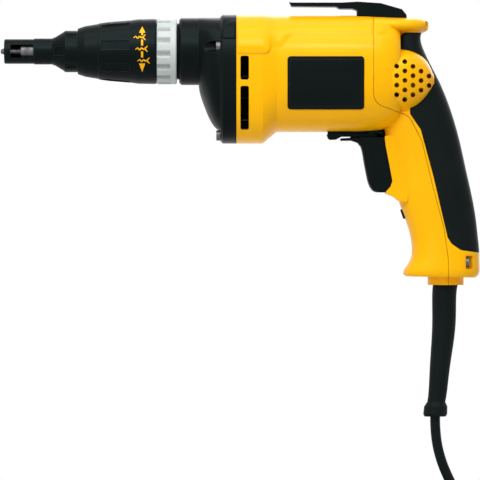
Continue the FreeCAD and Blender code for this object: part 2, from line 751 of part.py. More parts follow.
def handle_form(inset):
    rows = HANDLE_SHARES[:-1] if inset > 0 else HANDLE_SHARES
    wires = []
    for x, z, depth, width, lean in rows:
        centre = Vector(GRIP_BACK + x * HANDLE_LENGTH, 0, z * HANDLE_LENGTH)
        back = Vector(math.cos(math.radians(lean)), 0, math.sin(math.radians(lean)))
        wires.append(oval(centre, back, ACROSS, depth * HANDLE_DEPTH / 2 - inset,
                          width * HANDLE_WIDTH / 2 - inset, BODY_POWER))
    return loft(wires)


def on_handle(shares):
    return placed(shares, GRIP_BACK, 0, HANDLE_LENGTH, HANDLE_LENGTH)


def on_handle_front(shape):
    """Place a shape, made upright on a front at x = 0, where the lock button stands."""
    shape.rotate(Vector(0, 0, 0), ACROSS, -LOCK_LEAN)
    shape.translate(Vector(GRIP_BACK + LOCK_SHARE[0] * HANDLE_LENGTH, 0, LOCK_SHARE[1] * HANDLE_LENGTH))
    return shape


def slice_of(form, x_from, x_to):
    return form.common(block(x_from, x_to, -BODY_LENGTH, BODY_LENGTH, -HANDLE_LENGTH, HANDLE_LENGTH))


def shelf_of(form, z_from, z_to, x_from):
    far = GRIP_BACK + HANDLE_LENGTH
    return form.common(block(x_from, far, -HANDLE_WIDTH, HANDLE_WIDTH, z_from, z_to))


floor_z = HANDLE_SHARES[-2][1] * HANDLE_LENGTH
scoop_x = GRIP_BACK + SCOOP_FRONT_SHARE * HANDLE_LENGTH
scoop_z = -SCOOP_DROP_SHARE * HANDLE_LENGTH
inner_skin = (RUBBER + GRIP_WALL) / 2
boot_collar_top = floor_z + BOOT_COLLAR_THICK
width_all = 2 * (BODY_HALF + FAN_HALF)


def field_ring(form, x_from):
    """Ring inside the motor housing that holds the field, with air passages in its corners."""
    vents = around(rod(x_from - OVERRUN, x_from + BULKHEAD + OVERRUN, VENT_RADIUS, z=motor_z + FIELD_RADIUS),
                   4, first=45, z=motor_z)
    bore = rod(x_from - OVERRUN, x_from + BULKHEAD + OVERRUN, FIELD_RADIUS + FIT, z=motor_z)
    return slice_of(form, x_from, x_from + BULKHEAD).cut(vents + [bore])


def rear_wall(form):
    bores = [rod(rear_wall_front - OVERRUN, rear_wall_rear + OVERRUN, BEARING_RADIUS + FIT, z=motor_z)]
    bores += mirrored(rod(rear_wall_front - OVERRUN, rear_wall_rear + OVERRUN, PASSAGE_RADIUS,
                          y=PASSAGE_SPREAD, z=motor_z))
    return slice_of(form, rear_wall_front, rear_wall_rear).cut(bores)


def switch_shelves(form):
    top = shelf_of(form, switch_top, switch_top + SHELF, switch_front)
    lead_x = switch_front + MOTOR_LEAD_ROUTE[0][0]
    hole = block(lead_x - PASSAGE_RADIUS, lead_x + PASSAGE_RADIUS, -SWITCH_WIDTH / 2, SWITCH_WIDTH / 2,
                 switch_top - OVERRUN, switch_top + SHELF + OVERRUN)
    bottom = shelf_of(form, switch_bottom - SHELF, switch_bottom, switch_front)
    lead = post(switch_bottom - SHELF - OVERRUN, switch_bottom + OVERRUN, CORD / 2 + GAP, LEAD_X)
    return [top.cut(hole), bottom.cut(lead)]


def clamp_shelf(form):
    shelf = shelf_of(form, -CLAMP_DROP - SHELF, -CLAMP_DROP, GRIP_BACK - CLAMP_LENGTH / 2)
    holes = [post(-CLAMP_DROP - SHELF - OVERRUN, -CLAMP_DROP + OVERRUN, CORD / 2 + GAP, BOOT_X)]
    holes += mirrored(post(-CLAMP_DROP - SHELF - OVERRUN, -CLAMP_DROP + OVERRUN,
                           CLAMP_SCREW_RADIUS + FIT, BOOT_X, CLAMP_SCREW_SPREAD))
    return shelf.cut(holes)


def scoop_pads(form):
    """Solid round the foot screws and under the scoops over their heads."""
    boss = rod(scoop_x - HANDLE_SCREW_LENGTH - OVERRUN, scoop_x, 2 * HANDLE_SCREW_RADIUS,
               y=FOOT_SCREW_SPREAD, z=scoop_z)
    inner_y = SCOOP_FLOOR - WALL
    pad = block(scoop_x - WALL, scoop_x + HANDLE_LENGTH, inner_y, HANDLE_WIDTH,
                scoop_z - SCOOP_HEIGHT / 2 - WALL, scoop_z + SCOOP_HEIGHT / 2 + WALL)
    return [form.common(solid) for solid in mirrored(boss) + mirrored(pad)]


def whole_shell():
    """Both housing shells in one, before the seam parts them."""
    foot_boss = post(-HANDLE_LENGTH - FOOT_BOSS_DROP, floor_z, FOOT_BOSS_RADIUS, BOOT_X)
    outer = body_form(0).fuse([fan_form(0), cap_form(0), bulge_form(0), handle_form(0), foot_boss])
    hollow = body_form(WALL).fuse([fan_form(WALL), bulge_form(WALL), handle_form(GRIP_WALL)])
    shell = outer.cut(hollow.cut(case_bosses()))
    body_skin = body_form(WALL / 2)
    handle_skin = handle_form(inner_skin)
    walls = [field_ring(body_skin, CORE_X + BULKHEAD), field_ring(body_skin, core_rear - 2 * BULKHEAD),
             rear_wall(body_skin), clamp_shelf(handle_skin)]
    walls += switch_shelves(handle_skin) + scoop_pads(handle_skin)
    walls += [post(HOOK_SCREW_SEAT - HOOK_SCREW_LENGTH - WALL, CAP_MIDDLE + CAP_RISE - WALL / 2,
                   2 * HOOK_SCREW_RADIUS, x) for x in hook_screw_places()]
    shell = shell.fuse(walls + front_details())
    boot_hole = post(boot_end, floor_z + OVERRUN, BOOT_RADIUS + FIT, BOOT_X)
    return shell.cut([boot_hole] + screw_holes())


def screw_holes():
    holes = mirrored(rod(scoop_x - HANDLE_SCREW_LENGTH - OVERRUN, scoop_x + OVERRUN,
                         HANDLE_SCREW_RADIUS + FIT, y=FOOT_SCREW_SPREAD, z=scoop_z))
    cap_seat = CAP_END - CAP_SCREW_SINK
    holes += mirrored(rod(cap_seat - CAP_SCREW_LENGTH - FIT, cap_seat + OVERRUN, HANDLE_SCREW_RADIUS + FIT,
                          y=CAP_SCREW_SPREAD, z=CAP_MIDDLE))
    holes += mirrored(rod(cap_seat, CAP_END + OVERRUN, HANDLE_SCREW_HEAD + FIT, y=CAP_SCREW_SPREAD,
                          z=CAP_MIDDLE))
    for x in hook_screw_places():
        holes.append(post(HOOK_SCREW_SEAT - HOOK_SCREW_LENGTH - FIT, HOOK_RISE, HOOK_SCREW_RADIUS + FIT, x))
    return holes


def hook_screw_places():
    return [HOOK_X + share * HOOK_LENGTH for share in HOOK_SCREW_SHARES]


def rear_region():
    """Everything behind the seam."""
    points = on_handle(SEAM_SHARES)
    far = GRIP_BACK + HANDLE_LENGTH
    return slab(points + [(far, points[-1][1]), (far, points[0][1])], SEAM_ROUND, -width_all, width_all)


def grip_region(grow):
    face = outline(on_handle(GRIP_SHARES), GRIP_ROUND)
    if grow > 0:
        face = face.makeOffset2D(grow)
    face.translate(Vector(0, -width_all, 0))
    return face.extrude(Vector(0, 2 * width_all, 0))


def plate_slab(grow):
    left = PLATE_X - grow
    right = PLATE_X + PLATE_LENGTH + grow
    top = -PLATE_TOP_DROP + grow
    bottom = -PLATE_TOP_DROP - PLATE_HEIGHT - grow
    corners = [(left, top), (right, top), (right, bottom), (left, bottom)]
    return slab(corners, PLATE_ROUND + grow, BODY_HALF / 2, 2 * BODY_HALF)


def case_bosses():
    bosses = []
    for y, z in CASE_SCREW_SPOTS:
        bosses += mirrored(rod(-2 * OVERRUN, fan_rear, BOSS_RADIUS, y=y, z=z))
    return bosses


def front_details():
    """Solids on the motor housing: the lever's pin, the trigger guard and the lock spring's ledge."""
    details = [post(-LEVER_DROP - LEVER_THICK - GAP, -BODY_DROP + WALL / 2, LEVER_PIN, LEVER_PIVOT_X)]
    guard = slab(on_handle(GUARD_SHARES), GUARD_ROUND, -GUARD_HALF, GUARD_HALF)
    details.append(guard.cut(handle_form(GRIP_WALL)))
    ledge = block(GRIP_WALL - WALL, LOCK_DEPTH + LOCK_LEDGE / 2, -LOCK_WIDTH, LOCK_WIDTH, 0, LOCK_LEDGE)
    ledge.translate(Vector(0, 0, -LOCK_LENGTH / 2 - LOCK_FLANGE_EDGE - LOCK_SPRING_LENGTH - LOCK_LEDGE))
    details.append(on_handle_front(ledge))
    return details


def motor_housing(shell):
    trigger_half = TRIGGER_WIDTH / 2 + GAP
    cuts = [rear_region(), block(TRIGGER_X, switch_front + OVERRUN, -trigger_half, trigger_half,
                                 trigger_bottom - GAP, GAP - TRIGGER_DROP)]
    slot = block(-OVERRUN, GRIP_WALL + OVERRUN, -LOCK_WIDTH / 2 - GAP, LOCK_WIDTH / 2 + GAP,
                 LOCK_LENGTH / 2 + GAP - LOCK_SLOT, LOCK_LENGTH / 2 + GAP)
    cuts.append(on_handle_front(slot))
    for top, bottom in OUTLET_SPANS:
        corners = [(OUTLET_X, -top), (OUTLET_X + OUTLET_WIDTH, -top), (OUTLET_X + OUTLET_WIDTH, -bottom),
                   (OUTLET_X, -bottom)]
        cuts += mirrored(slab(corners, OUTLET_ROUND, FAN_HALF / 2, width_all))
    cuts += mirrored(plate_slab(FIT).cut(body_form(PLATE_SUNK)))
    for y, z in CASE_SCREW_SPOTS:
        cuts += mirrored(rod(-OVERRUN, CASE_SCREW_LENGTH - FLANGE + FIT, CASE_SCREW_RADIUS + FIT, y=y, z=z))
    return shell.cut(cuts)


def handle_cover(shell):
    region = rear_region()
    region.translate(Vector(SEAM_GAP, 0, SEAM_GAP))
    shape = shell.common(region)
    others = [body_form(0), bulge_form(0), cap_form(0)]
    shape = shape.cut(grip_region(FIT).cut(others + [handle_form(RUBBER + FIT)]))
    holes = []
    for column, count in enumerate(INLET_COUNTS):
        x = INLET_X + column * INLET_PITCH * math.sqrt(3) / 2
        for row in range(count):
            z = -INLET_DROP + (row - (count - 1) / 2) * INLET_PITCH
            holes.append(pin(-BULGE_HALF, BULGE_HALF, INLET_RADIUS, x, z))
    scoop_end = scoop_x + SCOOP_LENGTH
    ramp_x = scoop_x + HANDLE_SCREW_HEAD_HEIGHT + GAP
    floor_corners = [Vector(scoop_x, SCOOP_FLOOR, 0), Vector(ramp_x, SCOOP_FLOOR, 0),
                     Vector(scoop_end, SCOOP_FLOOR + SCOOP_RAMP, 0), Vector(scoop_end, HANDLE_WIDTH, 0),
                     Vector(scoop_x, HANDLE_WIDTH, 0)]
    scoop = Part.Face(Part.makePolygon(floor_corners + floor_corners[:1])).extrude(UP * SCOOP_HEIGHT)
    scoop.translate(Vector(0, 0, scoop_z - SCOOP_HEIGHT / 2))
    return shape.cut(holes + mirrored(scoop))


def rear_grip():
    skin = handle_form(0).cut(handle_form(RUBBER))
    return skin.common(grip_region(0)).cut([body_form(-FIT), bulge_form(-FIT), cap_form(-FIT)])


def name_plates():
    plate = plate_slab(0).common(body_form(-PLATE_PROUD)).cut(body_form(PLATE_SUNK - FIT))
    return Part.Compound(mirrored(plate))


def handle_screws():
    foot = screw(HANDLE_SCREW_HEAD, HANDLE_SCREW_HEAD_HEIGHT, HANDLE_SCREW_RADIUS, HANDLE_SCREW_LENGTH)
    cap = screw(HANDLE_SCREW_HEAD, HANDLE_SCREW_HEAD_HEIGHT, HANDLE_SCREW_RADIUS, CAP_SCREW_LENGTH)
    forward = Vector(-1, 0, 0)
    screws = []
    for side in (-1, 1):
        screws.append(screw_at(foot, Vector(scoop_x, side * FOOT_SCREW_SPREAD, scoop_z), forward))
        spot = Vector(CAP_END - CAP_SCREW_SINK, side * CAP_SCREW_SPREAD, CAP_MIDDLE)
        screws.append(screw_at(cap, spot, forward))
    return Part.Compound(screws)


# Gear case and what it holds

def plate_form(x_from, x_to, grow):
    return joined([rod(x_from, x_to, PLATE_SPINDLE_RADIUS + grow),
                   rod(x_from, x_to, PLATE_MOTOR_RADIUS + grow, z=motor_z)])


def gear_case():
    barrel = turned([(case_front, 0), (case_front, CASE_RADIUS - CASE_BEVEL),
                     (case_front + CASE_BEVEL, CASE_RADIUS), (case_front + CASE_ROUND_LENGTH, CASE_RADIUS),
                     (case_front + CASE_ROUND_LENGTH, 0)])
    flare = loft([upright_oval(-station * CASE_LENGTH, BODY_TOP - CASE_BEVEL, -drop * FAN_DROP,
                               width * FAN_HALF) for station, drop, width in CASE_SHARES])
    flange = loft([fan_section(-FLANGE, FLANGE_BEVEL), fan_section(-FLANGE + FLANGE_BEVEL, 0),
                   fan_section(0, 0)], ruled=True)
    neck = rod(web_front, case_front + OVERRUN, NECK_RADIUS)
    spigot = rod(spigot_front, case_front + OVERRUN, SPIGOT_RADIUS)
    shape = barrel.fuse([flare, flange, neck, spigot])
    cuts = [rod(web_front - OVERRUN, OVERRUN, NECK_BORE), rod(washer_front, OVERRUN, CAVITY_RADIUS),
            plate_form(-PLATE_THICK, OVERRUN, FIT),
            rod(gear_front - PINION_MARGIN - GAP, OVERRUN, PINION_ROOM, z=motor_z)]
    for y, z in CASE_SCREW_SPOTS:
        cuts += mirrored(rod(-FLANGE - OVERRUN, OVERRUN, CASE_SCREW_RADIUS + FIT, y=y, z=z))
        cuts += mirrored(rod(case_front, -FLANGE, CASE_POCKET, y=y, z=z))
    return shape.cut(cuts)


def case_screws():
    one = screw(CASE_SCREW_HEAD, CASE_SCREW_HEAD_HEIGHT, CASE_SCREW_RADIUS, CASE_SCREW_LENGTH)
    return Part.Compound([screw_at(one, Vector(-FLANGE, side * y, z), ALONG)
                          for y, z in CASE_SCREW_SPOTS for side in (-1, 1)])


def bearing_plate():
    bores = [rod(-PLATE_THICK - OVERRUN, OVERRUN, BEARING_RADIUS + FIT, z=motor_z),
             rod(-PLATE_THICK - OVERRUN, OVERRUN, GEAR_BUSH_RADIUS + FIT)]
    return plate_form(-PLATE_THICK, 0, 0).cut(bores)


def bearing(x_from):
    """Ball bearing with its races and a shield set back between them."""
    x_to = x_from + BEARING_WIDTH
    inner = ring(x_from, x_to, SHAFT_END_RADIUS + BEARING_RACE, SHAFT_END_RADIUS + FIT, motor_z)
    outer = ring(x_from, x_to, BEARING_RADIUS, BEARING_RADIUS - BEARING_RACE, motor_z)
    shield = ring(x_from + BEARING_RACE / 2, x_from + BEARING_WIDTH - BEARING_RACE / 2,
                  BEARING_RADIUS - BEARING_RACE / 2, SHAFT_END_RADIUS + BEARING_RACE / 2, motor_z)
    return joined([inner, outer, shield])


def gear_prism(teeth, x_from, x_to, phase, z=0):
    """Spur gear with involute flanks; phase turns a tooth away from straight up, in degrees."""
    pitch_radius = MODULE * teeth / 2
    pressure = math.radians(PRESSURE_ANGLE)
    base = pitch_radius * math.cos(pressure)
    root = pitch_radius - MODULE * DEDENDUM_SHARE
    tip = pitch_radius + MODULE * ADDENDUM_SHARE
    low = max(base, root)
    half_tooth = TOOTH_SHARE * math.pi / (2 * teeth) + math.tan(pressure) - pressure
    flank = [root] if root < base else []
    flank += [low + (tip - low) * step / FLANK_STEPS for step in range(FLANK_STEPS + 1)]
    corners = []
    for tooth in range(teeth):
        middle = math.radians(phase) + 2 * math.pi * tooth / teeth
        side = []
        for radius in flank:
            slant = math.acos(min(base / max(radius, base), 1))
            side.append((radius, half_tooth - (math.tan(slant) - slant)))
        corners += [(radius, middle - angle) for radius, angle in side]
        corners += [(radius, middle + angle) for radius, angle in reversed(side)]
    points = [Vector(x_from, -radius * math.sin(angle), z + radius * math.cos(angle))
              for radius, angle in corners]
    return Part.Face(Part.makePolygon(points + points[:1])).extrude(Vector(x_to - x_from, 0, 0))


def dogs(x_from, x_to, first):
    return around(sector(x_from, x_to, DOG_OUTER, DOG_INNER, 0, DOG_ANGLE), DOG_COUNT, first)


def drive_gear():
    teeth = gear_prism(GEAR_TEETH, gear_front, gear_rear, 180 + 180 / GEAR_TEETH)
    hub = rod(gear_rear - OVERRUN, -FIT, GEAR_HUB)
    shape = teeth.fuse([hub] + dogs(gear_front - DOG_HEIGHT, gear_front, 0))
    return shape.cut(rod(gear_front - OVERRUN, OVERRUN, TAIL_RADIUS + FIT))


def output_spindle():
    body = [rod(holder_rear, clutch_front, SPINDLE_RADIUS), rod(clutch_front, clutch_rear, CLUTCH_RADIUS),
            rod(clutch_rear - OVERRUN, gear_front + TAIL_REACH, TAIL_RADIUS)]
    body += dogs(clutch_rear, clutch_rear + DOG_HEIGHT, 180 / DOG_COUNT)
    return joined(body).cut(hexagon(holder_rear - OVERRUN, holder_rear + SHANK_LENGTH + FIT, HEX_FLAT + FIT))


def clutch_spring():
    length = gear_front - clutch_rear - 2 * FIT
    return helix(Vector(clutch_rear + FIT, 0, 0), ALONG, UP, length, SPRING_RADIUS, SPRING_WIRE, SPRING_TURNS)


def bit_holder():
    body = joined([rod(holder_front, holder_rear, HOLDER_RADIUS),
                   hexagon(holder_rear - OVERRUN, holder_rear + SHANK_LENGTH, HEX_FLAT)])
    groove = ring(holder_front + CLIP_INSET - CLIP_WIRE - FIT, holder_front + CLIP_INSET + CLIP_WIRE + FIT,
                  HEX_FLAT / math.sqrt(3) + FIT + 2 * CLIP_WIRE + FIT, HEX_FLAT / 4)
    magnet = rod(bit_rear, bit_rear + MAGNET_LENGTH + FIT, MAGNET_RADIUS + FIT)
    return body.cut([hexagon(holder_front - OVERRUN, bit_rear + FIT, HEX_FLAT + FIT), groove, magnet])


def bit_ring():
    inner = HEX_FLAT / math.sqrt(3) + FIT
    middle = holder_front + CLIP_INSET
    return sector(middle - CLIP_WIRE, middle + CLIP_WIRE, inner + 2 * CLIP_WIRE, inner, 0, 300)


def driver_bit():
    shank = hexagon(holder_front - GAP, bit_rear, HEX_FLAT)
    neck_front = holder_front - GAP - BIT_NECK_LENGTH
    point_rear = bit_tip + BIT_POINT_LENGTH
    stem = turned([(bit_tip, 0), (bit_tip, BIT_POINT_RADIUS), (point_rear, BIT_TIP_RADIUS),
                   (neck_front, BIT_NECK_RADIUS), (holder_front + GAP, BIT_NECK_RADIUS),
                   (holder_front + GAP, 0)])
    corner = block(bit_tip - OVERRUN, point_rear, BIT_WING / 2, BIT_TIP_RADIUS, BIT_WING / 2, BIT_TIP_RADIUS)
    return joined([shank, stem]).cut(around(corner, 4))


# Nose

def nose_piece():
    front_radius = NOSE_TUBE_RADIUS - NOSE_RELIEF
    relief_end = nose_tip + NOSE_FRONT_LENGTH
    inner = GUIDE_RADIUS - GUIDE_WALL
    body = turned([(nose_tip, NOSE_BORE), (nose_tip, front_radius - NOSE_BEVEL),
                   (nose_tip + NOSE_BEVEL, front_radius), (relief_end, front_radius),
                   (relief_end, NOSE_TUBE_RADIUS), (tube_rear, NOSE_TUBE_RADIUS),
                   (guide_front, GUIDE_RADIUS), (guide_rear, GUIDE_RADIUS), (guide_rear, inner),
                   (guide_front + GUIDE_WALL, inner), (guide_front, NOSE_BORE)])
    flange = ring(guide_rear - GUIDE_FLANGE, guide_rear, LEG_OUTER, inner)
    legs = around(sector(guide_rear - GUIDE_FLANGE, leg_rear, LEG_OUTER, LEG_INNER, 0, LEG_ANGLE), LEG_COUNT)
    window_front = nose_tip + WINDOW_SETBACK
    window_rear = window_front + WINDOW_LENGTH
    top = WINDOW_HEIGHT / 2
    corners = [(window_front, top), (window_rear, top), (window_rear, -top), (window_front, -top)]
    window = slab(corners, NOSE_BEVEL, -GUIDE_RADIUS, GUIDE_RADIUS)
    guide_flat = block(guide_front + FLAT_MARGIN, sleeve_front - FLAT_MARGIN, -FLAT_WIDTH / 2, FLAT_WIDTH / 2,
                       GUIDE_RADIUS - FLAT_DEPTH, GUIDE_RADIUS + OVERRUN)
    slope = math.degrees(math.atan2(GUIDE_RADIUS - NOSE_TUBE_RADIUS, NOSE_CONE_LENGTH))
    half = NOSE_CONE_LENGTH / 2 - FLAT_MARGIN
    cone_flat = block(-half, half, -FLAT_WIDTH / 2, FLAT_WIDTH / 2, -FLAT_DEPTH, OVERRUN)
    cone_flat.rotate(Vector(0, 0, 0), ACROSS, -slope)
    cone_flat.translate(Vector((tube_rear + guide_front) / 2, 0, (NOSE_TUBE_RADIUS + GUIDE_RADIUS) / 2))
    flats = around(guide_flat, FLAT_COUNT, 180 / FLAT_COUNT) + around(cone_flat, FLAT_COUNT)
    return body.fuse([flange] + legs).cut([window] + flats)


def nose_sleeve():
    chamber = LEG_OUTER + GAP + FIT
    outline_points = [(sleeve_front + a * SLEEVE_LENGTH, b * SLEEVE_RADIUS) for a, b in SLEEVE_SHARES]
    inner_points = [(sleeve_rear, chamber), (chamber_front, chamber), (chamber_front, GUIDE_RADIUS + GAP),
                    (sleeve_front, GUIDE_RADIUS + GAP)]
    body = turned(outline_points + inner_points)
    slots = around(sector(web_front - OVERRUN, web_rear + OVERRUN, LEG_OUTER + GAP, LEG_INNER - GAP, 0,
                          LEG_ANGLE + 2 * LEG_CLEARANCE), LEG_COUNT)
    web = ring(web_front, web_rear, chamber + FIT, NECK_RADIUS + FIT).cut(slots)
    start_x = sleeve_front + GROOVE_START_SHARE * SLEEVE_LENGTH
    end_x = sleeve_front + GROOVE_END_SHARE * SLEEVE_LENGTH
    start_radius = sleeve_radius(GROOVE_START_SHARE)
    rise = sleeve_radius(GROOVE_END_SHARE) - start_radius
    groove = block(0, end_x - start_x, -GROOVE_WIDTH / 2, GROOVE_WIDTH / 2, -GROOVE_DEPTH, OVERRUN)
    groove.rotate(Vector(0, 0, 0), ACROSS, -math.degrees(math.atan2(rise, end_x - start_x)))
    groove.translate(Vector(start_x, 0, start_radius))
    return body.fuse(web).cut(around(groove, GROOVE_COUNT, GROOVE_FIRST))


def sleeve_radius(share):
    """Radius of the sleeve at a share of its length."""
    for (a, low), (b, high) in zip(SLEEVE_SHARES, SLEEVE_SHARES[1:]):
        if a <= share <= b:
            return SLEEVE_RADIUS * (low + (high - low) * (share - a) / (b - a))


def depth_collar():
    bore = LEG_OUTER + 2 * FIT
    seat = SPIGOT_RADIUS + FIT
    body = turned([(collar_front, bore), (collar_front, COLLAR_RADIUS - COLLAR_BEVEL),
                   (collar_front + COLLAR_BEVEL, COLLAR_RADIUS), (collar_rear - COLLAR_BEVEL, COLLAR_RADIUS),
                   (collar_rear, COLLAR_RADIUS - COLLAR_BEVEL), (collar_rear, seat),
                   (spigot_front - GAP, seat), (spigot_front - GAP, bore)])
    flute = rod(collar_front - OVERRUN, collar_rear - COLLAR_RIM, FLUTE_RADIUS,
                z=COLLAR_RADIUS + FLUTE_RADIUS - FLUTE_DEPTH)
    return body.cut(around(flute, FLUTE_COUNT))


# Motor

def armature_shaft():
    return turned([(pinion_front, 0), (pinion_front, PINION_BORE), (gear_rear, PINION_BORE),
                   (gear_rear, SHAFT_END_RADIUS), (GAP, SHAFT_END_RADIUS), (GAP, SHAFT_RADIUS),
                   (rear_wall_front - GAP, SHAFT_RADIUS), (rear_wall_front - GAP, SHAFT_END_RADIUS),
                   (rear_wall_rear, SHAFT_END_RADIUS), (rear_wall_rear, 0)], motor_z)


def drive_pinion():
    teeth = gear_prism(PINION_TEETH, pinion_front, gear_rear, 0, motor_z)
    return teeth.cut(rod(pinion_front - OVERRUN, gear_rear + OVERRUN, PINION_BORE + FIT, z=motor_z))


def shaft_bore(x_from, x_to):
    return rod(x_from - OVERRUN, x_to + OVERRUN, SHAFT_RADIUS + FIT, z=motor_z)


def cooling_fan():
    hub = rod(FAN_SETBACK, fan_rear, FAN_HUB, z=motor_z)
    disc = rod(fan_rear - FAN_DISC, fan_rear, FAN_RADIUS, z=motor_z)
    blade = block(FAN_SETBACK, fan_rear - FAN_DISC / 2, -FAN_BLADE_THICK / 2, FAN_BLADE_THICK / 2,
                  motor_z + SHAFT_RADIUS, motor_z + FAN_RADIUS - FAN_DISC)
    return hub.fuse([disc] + around(blade, FAN_BLADES, z=motor_z)).cut(shaft_bore(FAN_SETBACK, fan_rear))


def air_baffle():
    front = fan_rear + BAFFLE_GAP
    rear = front + BAFFLE_THICK
    bore = rod(front - OVERRUN, rear + OVERRUN, BAFFLE_BORE, z=motor_z)
    return slice_of(fan_form(WALL + FIT), front, rear).cut(bore)


def core_slots(x_from, x_to, clearance):
    bar = block(x_from, x_to, clearance - CORE_SLOT_WIDTH / 2, CORE_SLOT_WIDTH / 2 - clearance,
                motor_z + CORE_RADIUS - CORE_SLOT_DEPTH + clearance, motor_z + CORE_RADIUS + OVERRUN)
    return around(bar, CORE_SLOTS, z=motor_z)


def armature_core():
    core = rod(CORE_X, core_rear, CORE_RADIUS, z=motor_z)
    return core.cut([shaft_bore(CORE_X, core_rear)] + core_slots(CORE_X - OVERRUN, core_rear + OVERRUN, 0))


def armature_windings():
    """Wire in the slots and round both ends of the core, as one piece."""
    front = CORE_X - WINDING_LENGTH
    rear = core_rear + WINDING_LENGTH
    slope = WINDING_OUTER - WINDING_BEVEL
    front_end = turned([(CORE_X, WINDING_INNER), (front, WINDING_INNER), (front, slope),
                        (front + WINDING_BEVEL, WINDING_OUTER), (CORE_X, WINDING_OUTER)], motor_z)
    rear_end = turned([(core_rear, WINDING_INNER), (core_rear, WINDING_OUTER),
                       (rear - WINDING_BEVEL, WINDING_OUTER), (rear, slope), (rear, WINDING_INNER)], motor_z)
    limit = rod(front, rear, CORE_RADIUS - COIL_CLEARANCE, z=motor_z)
    bars = [bar.common(limit) for bar in core_slots(CORE_X - OVERRUN, core_rear + OVERRUN, FIT)]
    return front_end.fuse(bars + [rear_end])


def commutator():
    slit = block(commutator_front - OVERRUN, commutator_rear + OVERRUN, -SLIT_WIDTH / 2, SLIT_WIDTH / 2,
                 motor_z + COMMUTATOR_RADIUS - SLIT_DEPTH, motor_z + COMMUTATOR_RADIUS + OVERRUN)
    body = rod(commutator_front, commutator_rear, COMMUTATOR_RADIUS, z=motor_z)
    slits = around(slit, COMMUTATOR_SLITS, z=motor_z)
    return body.cut([shaft_bore(commutator_front, commutator_rear)] + slits)


def field_core():
    inner = FIELD_RADIUS - FIELD_BACK
    back = ring(CORE_X, core_rear, FIELD_RADIUS, inner, motor_z)
    poles = [sector(CORE_X, core_rear, inner + FIELD_BACK / 2, CORE_RADIUS + AIR_GAP, middle, POLE_ANGLE,
                    motor_z) for middle in (0, 180)]
    return joined([back] + poles)


def field_coils():
    """Two coils, each with a side on both sides of its pole and an arc over either end."""
    front = CORE_X - COIL_OVERHANG
    rear = core_rear + COIL_OVERHANG
    outer = FIELD_RADIUS - FIELD_BACK - FIT
    inner = CORE_RADIUS + AIR_GAP + COIL_CLEARANCE
    side_middle = (180 - POLE_ANGLE) / 4 + POLE_ANGLE / 2
    coils = []
    for middle in (0, 180):
        sides = [sector(front, rear, outer, inner, middle + way * side_middle, COIL_ANGLE, motor_z)
                 for way in (-1, 1)]
        ends = [sector(x_from, x_to, outer, inner, middle, 2 * side_middle, motor_z)
                for x_from, x_to in ((front, CORE_X - COIL_CLEARANCE), (core_rear + COIL_CLEARANCE, rear))]
        coils.append(joined(sides + ends))
    return Part.Compound(coils)


holder_inner = COMMUTATOR_RADIUS + HOLDER_GAP
holder_outer = holder_inner + HOLDER_REACH
brush_back = COMMUTATOR_RADIUS + FIT + BRUSH_LENGTH


def brush_holders():
    half_x = BRUSH_WIDTH / 2 + BRUSH_CLEARANCE
    half_z = BRUSH_HEIGHT / 2 + BRUSH_CLEARANCE
    case = block(brush_x - half_x - HOLDER_WALL, brush_x + half_x + HOLDER_WALL, holder_inner, holder_outer,
                 motor_z - half_z - HOLDER_WALL, motor_z + half_z + HOLDER_WALL)
    foot = block(brush_x + half_x, rear_wall_front, holder_inner, holder_outer, motor_z - HOLDER_FOOT / 2,
                 motor_z + HOLDER_FOOT / 2)
    room = block(brush_x - half_x, brush_x + half_x, holder_inner - OVERRUN, holder_outer - HOLDER_WALL,
                 motor_z - half_z, motor_z + half_z)
    return Part.Compound(mirrored(joined([case, foot]).cut(room)))


def carbon_brushes():
    brush = block(brush_x - BRUSH_WIDTH / 2, brush_x + BRUSH_WIDTH / 2, COMMUTATOR_RADIUS + FIT, brush_back,
                  motor_z - BRUSH_HEIGHT / 2, motor_z + BRUSH_HEIGHT / 2)
    return Part.Compound(mirrored(brush))


def brush_springs():
    length = holder_outer - HOLDER_WALL - brush_back
    start = Vector(brush_x, brush_back + FIT, motor_z)
    spring = helix(start, ACROSS, UP, length - 2 * FIT, BRUSH_SPRING_RADIUS, BRUSH_WIRE, BRUSH_TURNS)
    return Part.Compound(mirrored(spring))


# Trigger, switch, lever and lock button

def trigger_section(front, z):
    """Level section of the trigger, with its front corners rounded."""
    half = TRIGGER_WIDTH / 2
    bend = TRIGGER_ROUND * (1 - math.sqrt(1 / 2))
    points = [Vector(x, y, z) for x, y in (
        (trigger_rear, -half), (front + TRIGGER_ROUND, -half), (front + bend, bend - half),
        (front, TRIGGER_ROUND - half), (front, half - TRIGGER_ROUND), (front + bend, half - bend),
        (front + TRIGGER_ROUND, half), (trigger_rear, half))]
    curves = [Part.LineSegment(points[0], points[1]), Part.Arc(*points[1:4]),
              Part.LineSegment(points[3], points[4]), Part.Arc(*points[4:7]),
              Part.LineSegment(points[6], points[7]), Part.LineSegment(points[7], points[0])]
    return Part.Wire([curve.toShape() for curve in curves])


def trigger():
    front = placed(TRIGGER_FRONT_SHARES, TRIGGER_X, -TRIGGER_DROP, TRIGGER_LENGTH, TRIGGER_HEIGHT)
    body = loft([trigger_section(x, z) for x, z in front])
    lip = slab(placed(TRIGGER_LIP_SHARES, TRIGGER_X, -TRIGGER_DROP, TRIGGER_LENGTH, TRIGGER_HEIGHT),
               TRIGGER_LIP_ROUND, -TRIGGER_LIP_HALF, TRIGGER_LIP_HALF)
    body = body.fuse(lip)
    pocket_front = trigger_rear - STEM_POCKET_DEPTH
    pocket = rod(pocket_front, trigger_rear + OVERRUN, STEM_POCKET, z=stem_z)
    stem = rod(pocket_front - OVERRUN, switch_front + STEM_REACH, STEM_RADIUS, z=stem_z)
    return body.cut(pocket).fuse(stem)


